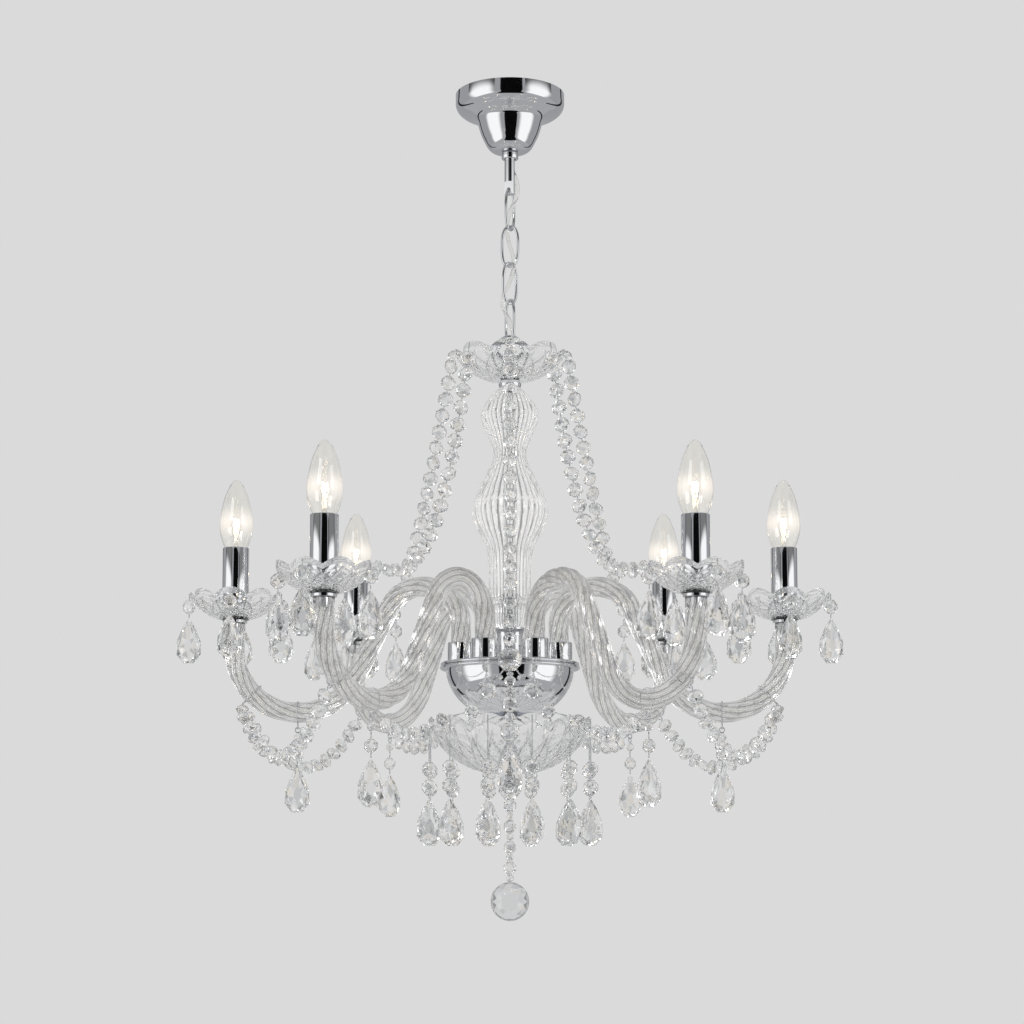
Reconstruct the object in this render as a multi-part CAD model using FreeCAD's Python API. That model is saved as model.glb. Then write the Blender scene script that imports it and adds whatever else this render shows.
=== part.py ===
import FreeCAD, Part
import math
import os

V = FreeCAD.Vector
Z_AXIS = V(0, 0, 1)

# A six-light glass chandelier on a chain. Millimetres, origin on the ceiling plane at the
# centre of the rose, Z up, X to the right as seen from the front.

# Clearances
slide_gap = 0.3            # between pieces that move on each other
seat_gap = 0.15            # between a wire and what it rests on
bore_gap = 0.2             # between a rod and its hole

# Ceiling rose and what it hides
rose_radius = 57.5
rose_rim_height = 10.0
rose_depth = 62.0
rose_neck_radius = 17.0
rose_wall = 1.2
bracket_length = 96.0
bracket_width = 20.0
bracket_thickness = 2.0
bracket_drop = 10.0
bridge_length = 40.0
slot_spacing = 70.0
slot_length = 12.0
slot_radius = 2.5
nut_radius = 8.5
nut_height = 5.0
block_length = 24.0
block_width = 14.0
block_height = 12.0
collar_nut_radius = 8.8
collar_nut_height = 7.3

# Stem and chain
stem_radius = 5.75
stem_bore_radius = 2.8
stem_top_drop = 3.0
window_height = 28.0
eye_drop = 102.5
eye_thickness = 6.0
eye_wall = 3.0
link_wire_radius = 1.5
link_inner_length = 40.0
link_inner_width = 15.0
link_turns = (62.0, -20.0, 40.0, -62.0)
cable_radius = 2.0
cable_offset = 11.5

# Hanger loop and centre stack, from the top down
loop_radius = 13.5
loop_wire_radius = 2.0
boss_radius = 10.0
boss_height = 15.0
cable_hole_offset = 6.0
rod_radius = 4.9
rod_bore_radius = 3.4
top_dish_radius = 57.5
top_dish_depth = 34.0
glass_floor = 4.5
top_dish_lobes = 8
collar_radius = 11.75
collar_height = 7.5
column_height = 219.0
column_flutes = 16
column_flute_depth = 1.6
column_wall = 4.0
base_height = 33.5
base_radius = 18.0
base_wall = 3.0
lower_collar_height = 36.0
lower_collar_radius = 14.0
plate_radius = 72.5
plate_thickness = 7.5
bowl_radius = 66.0
bowl_depth = 49.0
bowl_wall = 1.5
spacer_radius = 8.0
spacer_flange_radius = 28.0
spacer_flange_height = 3.0
spacer_height = 53.7
bottom_dish_radius = 84.0
bottom_dish_depth = 57.5
bottom_dish_lobes = 12
finial_radius = 10.0
finial_height = 8.0

# Arms and their cups
arm_count = 6
cup_circle_radius = 50.4
cup_radius = 14.0
cup_height = 21.0
cup_floor = 3.0
arm_radius = 10.6
arm_reach = 234.2          # from the axis of the cup to the axis of the candle
arm_swivel = 9.7           # the front and back arms are turned in their cups towards the sides
arch_radius = 39.4
arch_rise = 37.0           # cup floor to the middle of the arch
bay_radius = 66.0
bay_drop = 25.5            # middle of the arch down to the middle of the bay
arm_rise = 27.0            # middle of the bay up to the end of the arm
arm_strands = 10
arm_groove = 1.6
arm_twists = 1.5
arm_sections = 56
wire_bore_radius = 2.6
wire_radius = 1.9
nipple_radius = 4.9
nipple_depth = 10.0
nipple_rise = 18.0
washer_radius = 12.5
washer_height = 2.5

# Candles
bobeche_radius = 46.5
bobeche_depth = 30.0
bobeche_lobes = 8
bobeche_turn = 20.0
bobeche_floor = 4.0
sleeve_radius = 13.65
sleeve_wall = 1.0
sleeve_height = 71.5
holder_radius = 12.0
holder_bore_radius = 7.4
holder_bore_depth = 27.0
bulb_radius = 17.5
bulb_height = 76.0
bulb_neck_radius = 9.0
bulb_wall = 0.9
bulb_sink = 4.0
cap_radius = 6.9
cap_height = 24.0
cap_skirt_height = 2.0

# Crystal
bead_radius = 7.0
bead_table_radius = 3.6
bead_thickness = 7.0
bead_pitch = 18.8
pear_width = 27.0
pear_height = 48.0
pear_thickness = 11.0
ball_radius = 20.0
pin_radius = 0.6
ring_radius = 2.6
hook_length = 7.0
hook_gap = 0.7             # between a rim and the wire that hooks on it
drop_pin_length = 5.0
trim_bead_scale = 1.2
hub_bead_scale = 1.75
strand_slack_front = 3.2
strand_slack_back = 1.4
side_swag_sag = 58.0
dish_swag_sag = 20.0
dish_swag_lead = 16.0


# Shared shapes

def polar(radius, degrees, z=0.0):
    angle = math.radians(degrees)
    return V(radius * math.cos(angle), radius * math.sin(angle), z)


def outline(start, *steps):
    """Closed outline in the XZ plane: a step is a point, or a middle point and an end for an arc."""
    edges = []
    here = V(start[0], 0, start[1])
    for step in steps + (start,):
        if isinstance(step[0], tuple):
            middle = V(step[0][0], 0, step[0][1])
            there = V(step[1][0], 0, step[1][1])
            edges.append(Part.Arc(here, middle, there).toShape())
        else:
            there = V(step[0], 0, step[1])
            if (there - here).Length > 1e-6:
                edges.append(Part.LineSegment(here, there).toShape())
        here = there
    return Part.Face(Part.Wire(edges))


def turned(start, *steps):
    return outline(start, *steps).revolve(V(0, 0, 0), Z_AXIS, 360)


def disc(radius, low, high, x=0.0, y=0.0):
    return Part.makeCylinder(radius, high - low, V(x, y, low), Z_AXIS)


def tube(outer, inner, low, high, x=0.0, y=0.0):
    return disc(outer, low, high, x, y).cut(disc(inner, low - 1, high + 1, x, y))


def rod_between(start, end, radius):
    along = end - start
    return Part.makeCylinder(radius, along.Length, start, along)


def ring(centre, axis, radius, wire):
    return Part.makeTorus(radius, wire, centre, axis)


def lobed_points(radius, depth, lobes, turn, place):
    """Points of a closed outline with round lobes, on the plane of the placement."""
    count = lobes * 6
    points = []
    for step in range(count):
        angle = 2 * math.pi * step / count
        reach = radius - depth * (1 - math.cos(lobes * angle)) / 2
        flat = V(reach * math.cos(angle + turn), reach * math.sin(angle + turn), 0)
        points.append(place.multVec(flat))
    return points


def lobed_wire(radius, depth, lobes, place):
    curve = Part.BSplineCurve()
    curve.interpolate(lobed_points(radius, depth, lobes, 0, place), PeriodicFlag=True)
    return Part.Wire(curve.toShape())


def scalloped_dish(radius, depth, floor, lobes, turn, seat_radius, floor_radius, bore):
    """Pressed glass dish with its underside at z = 0: a round bowl trimmed to a scalloped rim."""
    wall = floor * 0.8
    rim = radius + wall
    bowl = turned((bore, 0), (seat_radius, 0), ((radius * 0.72, depth * 0.30), (rim, depth)),
                  (rim - wall, depth), ((radius * 0.69, depth * 0.30 + wall), (floor_radius, floor)),
                  (bore, floor))
    lobe_step = 360.0 / lobes
    notch_radius = radius - radius * math.sin(math.radians(lobe_step / 2)) * 0.22
    edges = []
    for lobe in range(lobes):
        middle = turn + lobe * lobe_step
        edges.append(Part.Arc(polar(notch_radius, middle - lobe_step / 2), polar(radius, middle),
                              polar(notch_radius, middle + lobe_step / 2)).toShape())
    trim = Part.Face(Part.Wire(edges)).extrude(V(0, 0, depth + 2))
    trim.translate(V(0, 0, -1))
    return bowl.common(trim)


def faceted(rings):
    """Solid with flat faces between rings of the same number of corners."""
    faces = [Part.Face(Part.makePolygon(edge + edge[:1])) for edge in (rings[0], rings[-1])]
    for lower, upper in zip(rings, rings[1:]):
        for corner in range(len(lower)):
            after = (corner + 1) % len(lower)
            quad = [lower[corner], lower[after], upper[after], upper[corner], lower[corner]]
            faces.append(Part.Face(Part.makePolygon(quad)))
    solid = Part.Solid(Part.Shell(faces))
    solid.fix(1e-6, 1e-6, 1e-6)
    return solid


def octagon_bead():
    """Flat octagonal bead, cut on both sides, facing Y with a flat edge at its top and bottom."""
    rings = []
    for radius, y in ((bead_table_radius, -bead_thickness / 2), (bead_radius, 0),
                      (bead_table_radius, bead_thickness / 2)):
        corners = [polar(radius, 22.5 + 45 * corner) for corner in range(8)]
        rings.append([V(corner.x, y, corner.y) for corner in corners])
    return faceted(rings)


def pear_drop():
    """Flat pear-shaped drop that hangs from z = 0, cut on both sides round a table."""
    half = [(0.18, 0.0), (0.52, -0.23), (0.9, -0.48), (1.0, -0.69), (0.74, -0.88), (0.26, -1.0)]
    side = [(x * pear_width / 2, z * pear_height) for x, z in half]
    edge = side + [(-x, z) for x, z in reversed(side)]
    middle = -0.6 * pear_height
    rings = []
    for scale, y in ((0.5, -pear_thickness / 2), (1.0, 0), (0.5, pear_thickness / 2)):
        rings.append([V(x * scale, y, middle + (z - middle) * scale) for x, z in edge])
    return faceted(rings)


BEAD = octagon_bead()
PEAR = pear_drop()
BEAD_TOP = bead_radius * math.cos(math.radians(22.5))


def placed(shape, place):
    copy = shape.copy()
    copy.Placement = place.multiply(copy.Placement)
    return copy


def facing(centre, along, outward):
    """Placement whose Z lies along a strand and whose -Y looks outward."""
    up = V(along).normalize()
    side = up.cross(outward).normalize()
    return FreeCAD.Placement(centre, FreeCAD.Rotation(side, V(0, 0, 0), up, "ZXY"))


def scaled_bead(scale):
    bead = BEAD.copy()
    bead.scale(scale)
    return bead


def strand(route, outward, lead=hook_length):
    """Beads on wire pins along a route, a function of 0 to 1, after a bare lead of wire."""
    steps = 400
    points = [route(step / steps) for step in range(steps + 1)]
    lengths = [0.0]
    for before, after in zip(points, points[1:]):
        lengths.append(lengths[-1] + (after - before).Length)
    count = max(1, round((lengths[-1] - lead) / bead_pitch))
    spacing = (lengths[-1] - lead) / count
    centres = []
    for bead in range(count):
        wanted = lead + (bead + 0.5) * spacing
        index = next(i for i, length in enumerate(lengths) if length >= wanted)
        centres.append(points[index])
    stops = [points[0]] + centres + [points[-1]]
    solids = []
    for index, centre in enumerate(centres):
        along = stops[index] - stops[index + 2]
        solids.append(placed(BEAD, facing(centre, along, outward(centre))))
    for index, (start, end) in enumerate(zip(stops, stops[1:])):
        step = (end - start).normalize()
        first = start if index == 0 else start + step * (BEAD_TOP + seat_gap)
        last = end if index == len(stops) - 2 else end - step * (BEAD_TOP + seat_gap)
        solids.append(rod_between(first, last, pin_radius))
    return solids


def drop(hook, beads, outward):
    """A pear drop that hangs straight down from a hook on one or more beads."""
    solids = []
    z = hook.z
    pin = hook_length
    for bead in range(beads):
        solids.append(rod_between(V(hook.x, hook.y, z - pin), V(hook.x, hook.y, z), pin_radius))
        centre = V(hook.x, hook.y, z - pin - seat_gap - BEAD_TOP)
        solids.append(placed(BEAD, facing(centre, Z_AXIS, outward)))
        z = centre.z - BEAD_TOP - seat_gap
        pin = drop_pin_length
    solids.append(rod_between(V(hook.x, hook.y, z - pin), V(hook.x, hook.y, z), pin_radius))
    top = V(hook.x, hook.y, z - pin - seat_gap)
    solids.append(placed(PEAR, facing(top, Z_AXIS, outward)))
    return solids


def outward_from_axis(point):
    return V(point.x, point.y, 0).normalize()


# Levels, from the ceiling down
link_length = link_inner_length + 2 * link_wire_radius
link_pitch = link_length - 2 * link_wire_radius - slide_gap
eye_z = -eye_drop
link_tops = [eye_z - index * link_pitch for index in range(len(link_turns))]
chain_end_z = link_tops[-1] - link_length
loop_z = chain_end_z + link_wire_radius + loop_wire_radius + slide_gap - loop_radius
boss_top_z = loop_z - loop_radius - loop_wire_radius / 2
top_dish_z = boss_top_z - boss_height - glass_floor
column_top_z = top_dish_z - collar_height
base_top_z = column_top_z - column_height
lower_collar_top_z = base_top_z - base_height
plate_top_z = lower_collar_top_z - lower_collar_height
bowl_top_z = plate_top_z - plate_thickness
spacer_top_z = bowl_top_z - bowl_depth
bottom_dish_z = spacer_top_z - spacer_height - glass_floor
finial_z = bottom_dish_z - finial_height
arm_base_z = plate_top_z + cup_floor
arch_z = arm_base_z + arch_rise
bay_z = arch_z - bay_drop
arm_end_z = bay_z + arm_rise
bobeche_z = arm_end_z + washer_height
sleeve_z = bobeche_z + bobeche_floor
bulb_z = sleeve_z + sleeve_height - bulb_sink
holder_top_z = bulb_z - cap_skirt_height - slide_gap


# Ceiling end

def rose_canopy():
    rim = rose_radius - rose_wall
    neck = rose_neck_radius
    outer = ((rose_radius, 0), (rose_radius, -rose_rim_height))
    shell = turned(
        outer[0], outer[1],
        ((rose_radius * 0.92, -rose_rim_height - 5.5), (rose_radius * 0.78, -rose_rim_height - 9)),
        (rose_radius * 0.72, -rose_rim_height - 14), (neck + 8, -rose_depth + 6),
        ((neck + 5, -rose_depth + 2), (neck, -rose_depth)), (stem_radius + slide_gap, -rose_depth),
        (stem_radius + slide_gap, -rose_depth + rose_wall), (neck, -rose_depth + rose_wall),
        ((neck + 4, -rose_depth + 3), (neck + 8 - rose_wall, -rose_depth + 6.5)),
        (rose_radius * 0.72 - rose_wall, -rose_rim_height - 13.5),
        (rose_radius * 0.78 - rose_wall, -rose_rim_height - 8),
        ((rose_radius * 0.91, -rose_rim_height - 4.4), (rim, -rose_rim_height)), (rim, 0))
    return shell


def collar_nut():
    low = -rose_depth - slide_gap - collar_nut_height
    body = tube(collar_nut_radius, stem_radius + slide_gap, low, low + collar_nut_height)
    edges = [edge for edge in body.Edges if abs(edge.BoundBox.XLength - 2 * collar_nut_radius) < 1e-3]
    return body.makeChamfer(0.8, edges)


def ceiling_bracket():
    half = bracket_length / 2
    bridge = bridge_length / 2
    low = -bracket_drop - bracket_thickness
    strap = outline((-half, 0), (-bridge - bracket_thickness, 0),
                    (-bridge - bracket_thickness, -bracket_drop),
                    (bridge + bracket_thickness, -bracket_drop),
                    (bridge + bracket_thickness, 0), (half, 0), (half, -bracket_thickness),
                    (bridge + 2 * bracket_thickness, -bracket_thickness),
                    (bridge + 2 * bracket_thickness, low),
                    (-bridge - 2 * bracket_thickness, low),
                    (-bridge - 2 * bracket_thickness, -bracket_thickness), (-half, -bracket_thickness))
    strap = strap.extrude(V(0, bracket_width, 0))
    strap.translate(V(0, -bracket_width / 2, 0))
    tray = Part.makeBox(bridge_length, nut_radius + block_width + 6, bracket_thickness,
                        V(-bridge, 0, low))
    strap = strap.fuse(tray).removeSplitter()
    strap = strap.cut(disc(stem_radius + bore_gap, low - 1, 1))
    for side in (-1, 1):
        centre = side * slot_spacing / 2
        flat = (slot_length - 2 * slot_radius) / 2
        slot = Part.makeBox(2 * flat, 2 * slot_radius, 2 * bracket_drop,
                            V(centre - flat, -slot_radius, -bracket_drop))
        for end in (-1, 1):
            slot = slot.fuse(disc(slot_radius, -bracket_drop, bracket_drop, centre + end * flat))
        strap = strap.cut(slot)
    return strap


def hexagon_nut(low):
    corners = [polar(nut_radius, 60 * corner, low) for corner in range(7)]
    nut = Part.Face(Part.makePolygon(corners)).extrude(V(0, 0, nut_height))
    return nut.cut(disc(stem_radius + bore_gap, low - 1, low + nut_height + 1))


def bracket_nuts():
    return [hexagon_nut(-bracket_drop), hexagon_nut(-bracket_drop - bracket_thickness - nut_height)]


block_near_y = nut_radius + 4
block_z = -bracket_drop - bracket_thickness - block_height


def terminal_block():
    block = Part.makeBox(block_length, block_width, block_height,
                         V(-block_length / 2, block_near_y, block_z))
    third = block_length / 3
    for way in (-1, 0, 1):
        screw = disc(2.2, block_z - 1, block_z + 3, way * third, block_near_y + block_width - 3.5)
        block = block.cut(screw)
    return block


def stem():
    eye_radius = link_wire_radius + 0.75
    low = eye_z - eye_radius - eye_wall
    body = disc(stem_radius, low, -stem_top_drop)
    body = body.cut(disc(stem_bore_radius, eye_z + 14, 0))
    for side in (-1, 1):
        flat = Part.makeBox(stem_radius, 4 * stem_radius, 8 + eye_z - low,
                            V(eye_thickness / 2 if side > 0 else -eye_thickness / 2 - stem_radius,
                              -2 * stem_radius, low))
        body = body.cut(flat)
    hole = Part.makeCylinder(eye_radius, 4 * stem_radius, V(-2 * stem_radius, 0, eye_z - 0.2), V(1, 0, 0))
    body = body.cut(hole)
    body.rotate(V(0, 0, 0), Z_AXIS, link_turns[0])
    wide = 2 * stem_bore_radius
    exit_window = Part.makeBox(2 * stem_radius, wide, window_height, V(0, -wide / 2, eye_z + 6))
    entry_window = Part.makeBox(wide, 2 * stem_radius, window_height, V(-wide / 2, 0, block_z - 38))
    return body.cut(exit_window).cut(entry_window)


def chain_link(index):
    half = link_inner_width / 2 + link_wire_radius
    section = Part.Face(Part.Wire(Part.makeCircle(link_wire_radius, V(half, 0, -half), Z_AXIS)))
    top = section.revolve(V(0, 0, -half), V(0, -1, 0), 180)
    side = section.extrude(V(0, 0, 2 * half - link_length))
    other = side.copy()
    other.translate(V(-2 * half, 0, 0))
    bottom = top.copy()
    bottom.rotate(V(0, 0, -link_length / 2), V(0, 1, 0), 180)
    link = top.fuse([side, other, bottom]).removeSplitter()
    link.rotate(V(0, 0, 0), Z_AXIS, link_turns[index])
    link.translate(V(0, 0, link_tops[index]))
    return link


# The cable leaves the terminal block, runs down inside the stem, comes out of its window and
# weaves through the links to the boss of the hanger loop.
weave = (0.0, 111.0, -62.0, 169.0, 59.0)


def cable_route():
    block_y = block_near_y + block_width / 2
    points = [V(0, block_y, block_z - 0.1), V(0, block_y, block_z - 10), V(0, 0, block_z - 32),
              V(0, 0, eye_z + 28), polar(cable_offset, weave[0], eye_z - 1.5)]
    for index, top in enumerate(link_tops):
        points.append(V(0, 0, top - link_length / 2))
        points.append(polar(cable_offset, weave[index + 1], top - link_length + link_wire_radius))
    points.append(V(1.5, cable_hole_offset + 3.5, loop_z - 4))
    points.append(V(0, cable_hole_offset, boss_top_z + 1))
    points.append(V(0, cable_hole_offset, boss_top_z - boss_height / 2))
    return points


def cord_tube(points, radius):
    """Round cord along straight runs joined by tangent arcs, each as large as its runs allow."""
    edges = []
    here = points[0]
    radii = []
    for before, corner, after in zip(points, points[1:], points[2:]):
        back = before - corner
        onward = after - corner
        cut = 0.45 * min(back.Length, onward.Length)
        back.normalize()
        onward.normalize()
        turn = math.pi - back.getAngle(onward)
        arc_radius = cut / math.tan(turn / 2)
        radii.append(round(arc_radius, 1))
        first = corner + back * cut
        last = corner + onward * cut
        inward = (back + onward).normalize()
        middle = corner + inward * (arc_radius / math.cos(turn / 2) - arc_radius)
        edges.append(Part.LineSegment(here, first).toShape())
        edges.append(Part.Arc(first, middle, last).toShape())
        here = last
    edges.append(Part.LineSegment(here, points[-1]).toShape())
    path = Part.Wire(edges)
    section = Part.Wire(Part.makeCircle(radius, points[0], points[1] - points[0]))
    body = path.makePipeShell([section], True, False)
    expected = math.pi * radius ** 2 * path.Length
    print("cable length", round(path.Length, 1), "radii", radii)
    print("cable volume ratio", round(body.Volume / expected, 4))
    return body


# Centre stack

def hanger_loop():
    boss = turned((0, boss_top_z - boss_height), (boss_radius, boss_top_z - boss_height),
                  (boss_radius, boss_top_z - 2), (boss_radius - 2, boss_top_z), (0, boss_top_z))
    boss = boss.fuse(ring(V(0, 0, loop_z), V(0, 1, 0), loop_radius, loop_wire_radius))
    boss = boss.cut(disc(rod_radius + bore_gap, boss_top_z - boss_height - 1,
                         boss_top_z - boss_height * 0.6))
    cable_hole = disc(cable_radius + slide_gap, boss_top_z - boss_height * 0.55, boss_top_z + 3,
                      0, cable_hole_offset)
    return boss.cut(cable_hole)


def top_dish():
    dish = scalloped_dish(top_dish_radius, top_dish_depth, glass_floor, top_dish_lobes, 0,
                          collar_radius + 1, boss_radius + 1, rod_radius + bore_gap)
    dish.translate(V(0, 0, top_dish_z))
    return dish


def top_collar():
    low = top_dish_z - collar_height
    return turned((rod_radius + bore_gap, low), (collar_radius - 1.5, low),
                  ((collar_radius, low + collar_height / 2), (collar_radius - 1.5, top_dish_z)),
                  (rod_radius + bore_gap, top_dish_z))


# Column sections: height from the top as a share of the column, and radius
column_sections = ((0.0, 11.5), (0.042, 21.0), (0.095, 28.0), (0.15, 30.5), (0.245, 22.0), (0.325, 17.0),
                   (0.42, 25.0), (0.51, 35.0), (0.60, 40.0), (0.69, 34.0), (0.775, 24.5), (0.88, 22.3),
                   (1.0, 22.0))


def column():
    def level(share):
        return FreeCAD.Placement(V(0, 0, column_top_z - share * column_height), FreeCAD.Rotation())
    outside = [lobed_wire(radius, column_flute_depth, column_flutes, level(share))
               for share, radius in column_sections]
    body = Part.makeLoft(outside, True, False)
    inside = [Part.Wire(Part.makeCircle(radius - column_wall, level(share).Base, Z_AXIS))
              for share, radius in column_sections[1:]]
    hollow = Part.makeLoft(inside, True, False)
    rod_hole = disc(rod_radius + bore_gap, column_top_z - column_height / 8, column_top_z + 1)
    return body.cut(hollow).cut(rod_hole)


def column_base():
    low = lower_collar_top_z
    high = base_top_z
    bore = rod_radius + bore_gap
    lip = column_sections[-1][1]
    return turned((bore, low), (base_radius - 2, low),
                  ((base_radius, low + 6), (base_radius - 1, low + 14)),
                  ((base_radius, high - 8), (lip, high - 3)), (lip, high), (bore, high),
                  (bore, high - base_wall), (base_radius - 1 - base_wall, high - base_wall - 4),
                  (base_radius - 1 - base_wall, low + base_wall), (bore, low + base_wall))


def lower_collar():
    bore = rod_radius + bore_gap
    high = lower_collar_top_z
    low = plate_top_z
    wide = lower_collar_radius
    return turned((bore, low), (wide + 4, low), (wide + 4, low + 3),
                  ((wide, low + 6), (wide - 1, low + 11)), (wide - 1, high - 6),
                  ((wide + 1, high - 4), (wide + 2, high - 2)), (wide + 2, high), (bore, high))


cup_angles = [360.0 / arm_count * index for index in range(arm_count)]


def hub_plate():
    low = bowl_top_z
    high = plate_top_z
    bore = rod_radius + bore_gap
    edge = plate_radius - plate_thickness / 2
    plate = turned((bore, low), (edge, low), ((plate_radius, (low + high) / 2), (edge, high)), (bore, high))
    for angle in cup_angles:
        spot = polar(cup_circle_radius, angle)
        plate = plate.cut(disc(wire_bore_radius, low - 1, high + 1, spot.x, spot.y))
    return plate


def arm_cups():
    inside = arm_radius + 0.4
    cup = turned((wire_bore_radius, 0), (cup_radius - 1, 0), (cup_radius, 1),
                 (cup_radius, cup_height - 1), (cup_radius - 1, cup_height), (inside, cup_height),
                 (inside, cup_floor), (wire_bore_radius, cup_floor))
    cups = []
    for angle in cup_angles:
        seat = polar(cup_circle_radius, angle, plate_top_z)
        cups.append(placed(cup, FreeCAD.Placement(seat, FreeCAD.Rotation())))
    return cups


def hub_bowl():
    high = bowl_top_z
    low = spacer_top_z
    bore = rod_radius + bore_gap
    seat = spacer_flange_radius * 0.5
    inner = bowl_radius - bowl_wall
    bulge = bowl_radius * 0.76
    bulge_z = high - bowl_depth * 0.67
    return turned((bowl_radius, high), ((bulge, bulge_z), (seat, low)), (bore, low),
                  (bore, low + bowl_wall), (seat, low + bowl_wall),
                  ((bulge - bowl_wall * 0.7, bulge_z + bowl_wall * 0.75), (inner, high)))


def bowl_spacer():
    bore = rod_radius + bore_gap
    high = spacer_top_z
    low = high - spacer_height
    return turned((bore, low), (spacer_radius + 3, low), (spacer_radius, low + 5),
                  (spacer_radius, high - spacer_flange_height - 6),
                  (spacer_flange_radius - 1, high - spacer_flange_height),
                  ((spacer_flange_radius, high - spacer_flange_height / 2),
                   (spacer_flange_radius - 1, high)),
                  (bore, high))


def bottom_dish():
    dish = scalloped_dish(bottom_dish_radius, bottom_dish_depth, glass_floor, bottom_dish_lobes,
                          180.0 / bottom_dish_lobes, finial_radius + 4, spacer_radius + 4,
                          rod_radius + bore_gap)
    dish.translate(V(0, 0, bottom_dish_z))
    return dish


finial_eye_z = finial_z - ring_radius - pin_radius / 2


def bottom_finial():
    body = turned((0, finial_z), ((finial_radius * 0.72, finial_z + 1.5), (finial_radius, bottom_dish_z)),
                  (0, bottom_dish_z))
    body = body.cut(disc(rod_radius + bore_gap, bottom_dish_z - finial_height / 2, bottom_dish_z + 1))
    return body.fuse(ring(V(0, 0, finial_eye_z), V(0, 1, 0), ring_radius, pin_radius))


def centre_rod():
    return tube(rod_radius, rod_bore_radius, bottom_dish_z - finial_height / 2 + 0.1,
                boss_top_z - boss_height * 0.6 - 0.1)


# Arms. The centreline rises from its cup, turns over an arch, runs down a straight stretch,
# turns through a round bay and rises to the candle. u is the distance from the cup's axis.

def side_of(degrees):
    """1 or -1 by quadrant, 0 for the arms along X."""
    slope = math.sin(math.radians(2 * degrees))
    return 0 if abs(slope) < 1e-6 else math.copysign(1, slope)


arm_directions = [angle - arm_swivel * side_of(angle) for angle in cup_angles]
bay_u = arm_reach - bay_radius
centre_gap = math.hypot(bay_u - arch_radius, bay_drop)
run_dip = math.atan2(bay_drop, bay_u - arch_radius)
run_heading = -run_dip - math.asin((arch_radius + bay_radius) / centre_gap)
run_normal = run_heading + math.pi / 2
run_length = math.sqrt(centre_gap ** 2 - (arch_radius + bay_radius) ** 2)
arc_sweep = math.pi - run_normal


def arm_point(radius, angle, u, z):
    return V(u + radius * math.cos(angle), 0, z + radius * math.sin(angle))


def arm_path(low=0.0, high=0.0):
    """Centreline of an arm in its own plane, longer by the given lengths at its ends."""
    foot = V(0, 0, arm_base_z - low)
    arch_start = V(0, 0, arch_z)
    arch_end = arm_point(arch_radius, run_normal, arch_radius, arch_z)
    arch_top = arm_point(arch_radius, math.pi / 2, arch_radius, arch_z)
    bay_start = arm_point(-bay_radius, run_normal, bay_u, bay_z)
    bay_low = arm_point(bay_radius, -math.pi / 2, bay_u, bay_z)
    bay_end = V(arm_reach, 0, bay_z)
    top = V(arm_reach, 0, arm_end_z + high)
    return Part.Wire([Part.LineSegment(foot, arch_start).toShape(),
                      Part.Arc(arch_start, arch_top, arch_end).toShape(),
                      Part.LineSegment(arch_end, bay_start).toShape(),
                      Part.Arc(bay_start, bay_low, bay_end).toShape(),
                      Part.LineSegment(bay_end, top).toShape()])


arm_length = arch_rise + arc_sweep * (arch_radius + bay_radius) + run_length + arm_rise


def arm_station(length):
    """Point and heading on the centreline at a length from its foot."""
    arch_length = arc_sweep * arch_radius
    bay_length = arc_sweep * bay_radius
    if length <= arch_rise:
        return V(0, 0, arm_base_z + length), math.pi / 2
    length -= arch_rise
    if length <= arch_length:
        angle = math.pi - length / arch_radius
        return arm_point(arch_radius, angle, arch_radius, arch_z), angle - math.pi / 2
    length -= arch_length
    if length <= run_length:
        start = arm_point(arch_radius, run_normal, arch_radius, arch_z)
        return start + V(math.cos(run_heading), 0, math.sin(run_heading)) * length, run_heading
    length -= run_length
    if length <= bay_length:
        angle = run_normal - math.pi + length / bay_radius
        return arm_point(bay_radius, angle, bay_u, bay_z), angle + math.pi / 2
    return V(arm_reach, 0, bay_z + length - bay_length), math.pi / 2


def twisted_arm():
    """Rope of glass strands: a lobed section that turns as it runs along the centreline."""
    fade = 1.5 * arm_radius
    rows = []
    for index in range(arm_sections + 1):
        length = arm_length * index / arm_sections
        point, heading = arm_station(length)
        groove = arm_groove * min(1.0, length / fade, (arm_length - length) / fade)
        forward = V(math.cos(heading), 0, math.sin(heading))
        plane = FreeCAD.Placement(point, FreeCAD.Rotation(V(0, 1, 0), V(0, 0, 0), forward, "ZXY"))
        turn = 2 * math.pi * arm_twists * length / arm_length
        row = lobed_points(arm_radius, groove, arm_strands, turn, plane)
        rows.append(row + row[:1])
    surface = Part.BSplineSurface()
    surface.interpolate(rows)
    skin = surface.toShape()
    ends = [Part.Face(Part.Wire(edge)) for edge in skin.Edges if edge.isClosed()]
    shell = Part.Shell([skin] + ends)
    shell.sewShape()
    bore = arm_path(1, 1).makePipe(Part.Face(Part.Wire(Part.makeCircle(
        wire_bore_radius, V(0, 0, arm_base_z - 1), Z_AXIS))))
    socket = disc(nipple_radius + bore_gap, arm_end_z - nipple_depth - bore_gap, arm_end_z + 1, arm_reach)
    return Part.Solid(shell).cut(bore).cut(socket)


def arm_place(index):
    turn = FreeCAD.Rotation(Z_AXIS, arm_directions[index])
    return FreeCAD.Placement(polar(cup_circle_radius, cup_angles[index]), turn)


def on_arms(shape):
    return [placed(shape, arm_place(index)) for index in range(arm_count)]


def arm_wires():
    low = cup_floor + plate_thickness + 6
    high = washer_height + bobeche_floor + nipple_rise - 2
    path = arm_path(low, high)
    section = Part.Face(Part.Wire(Part.makeCircle(wire_radius, V(0, 0, arm_base_z - low), Z_AXIS)))
    return on_arms(path.makePipe(section))


hoop_radius = arm_radius + seat_gap + pin_radius
swag_hoop_angle = math.radians(-45)
eye_below_hoop = hoop_radius + ring_radius + pin_radius / 2


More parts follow.
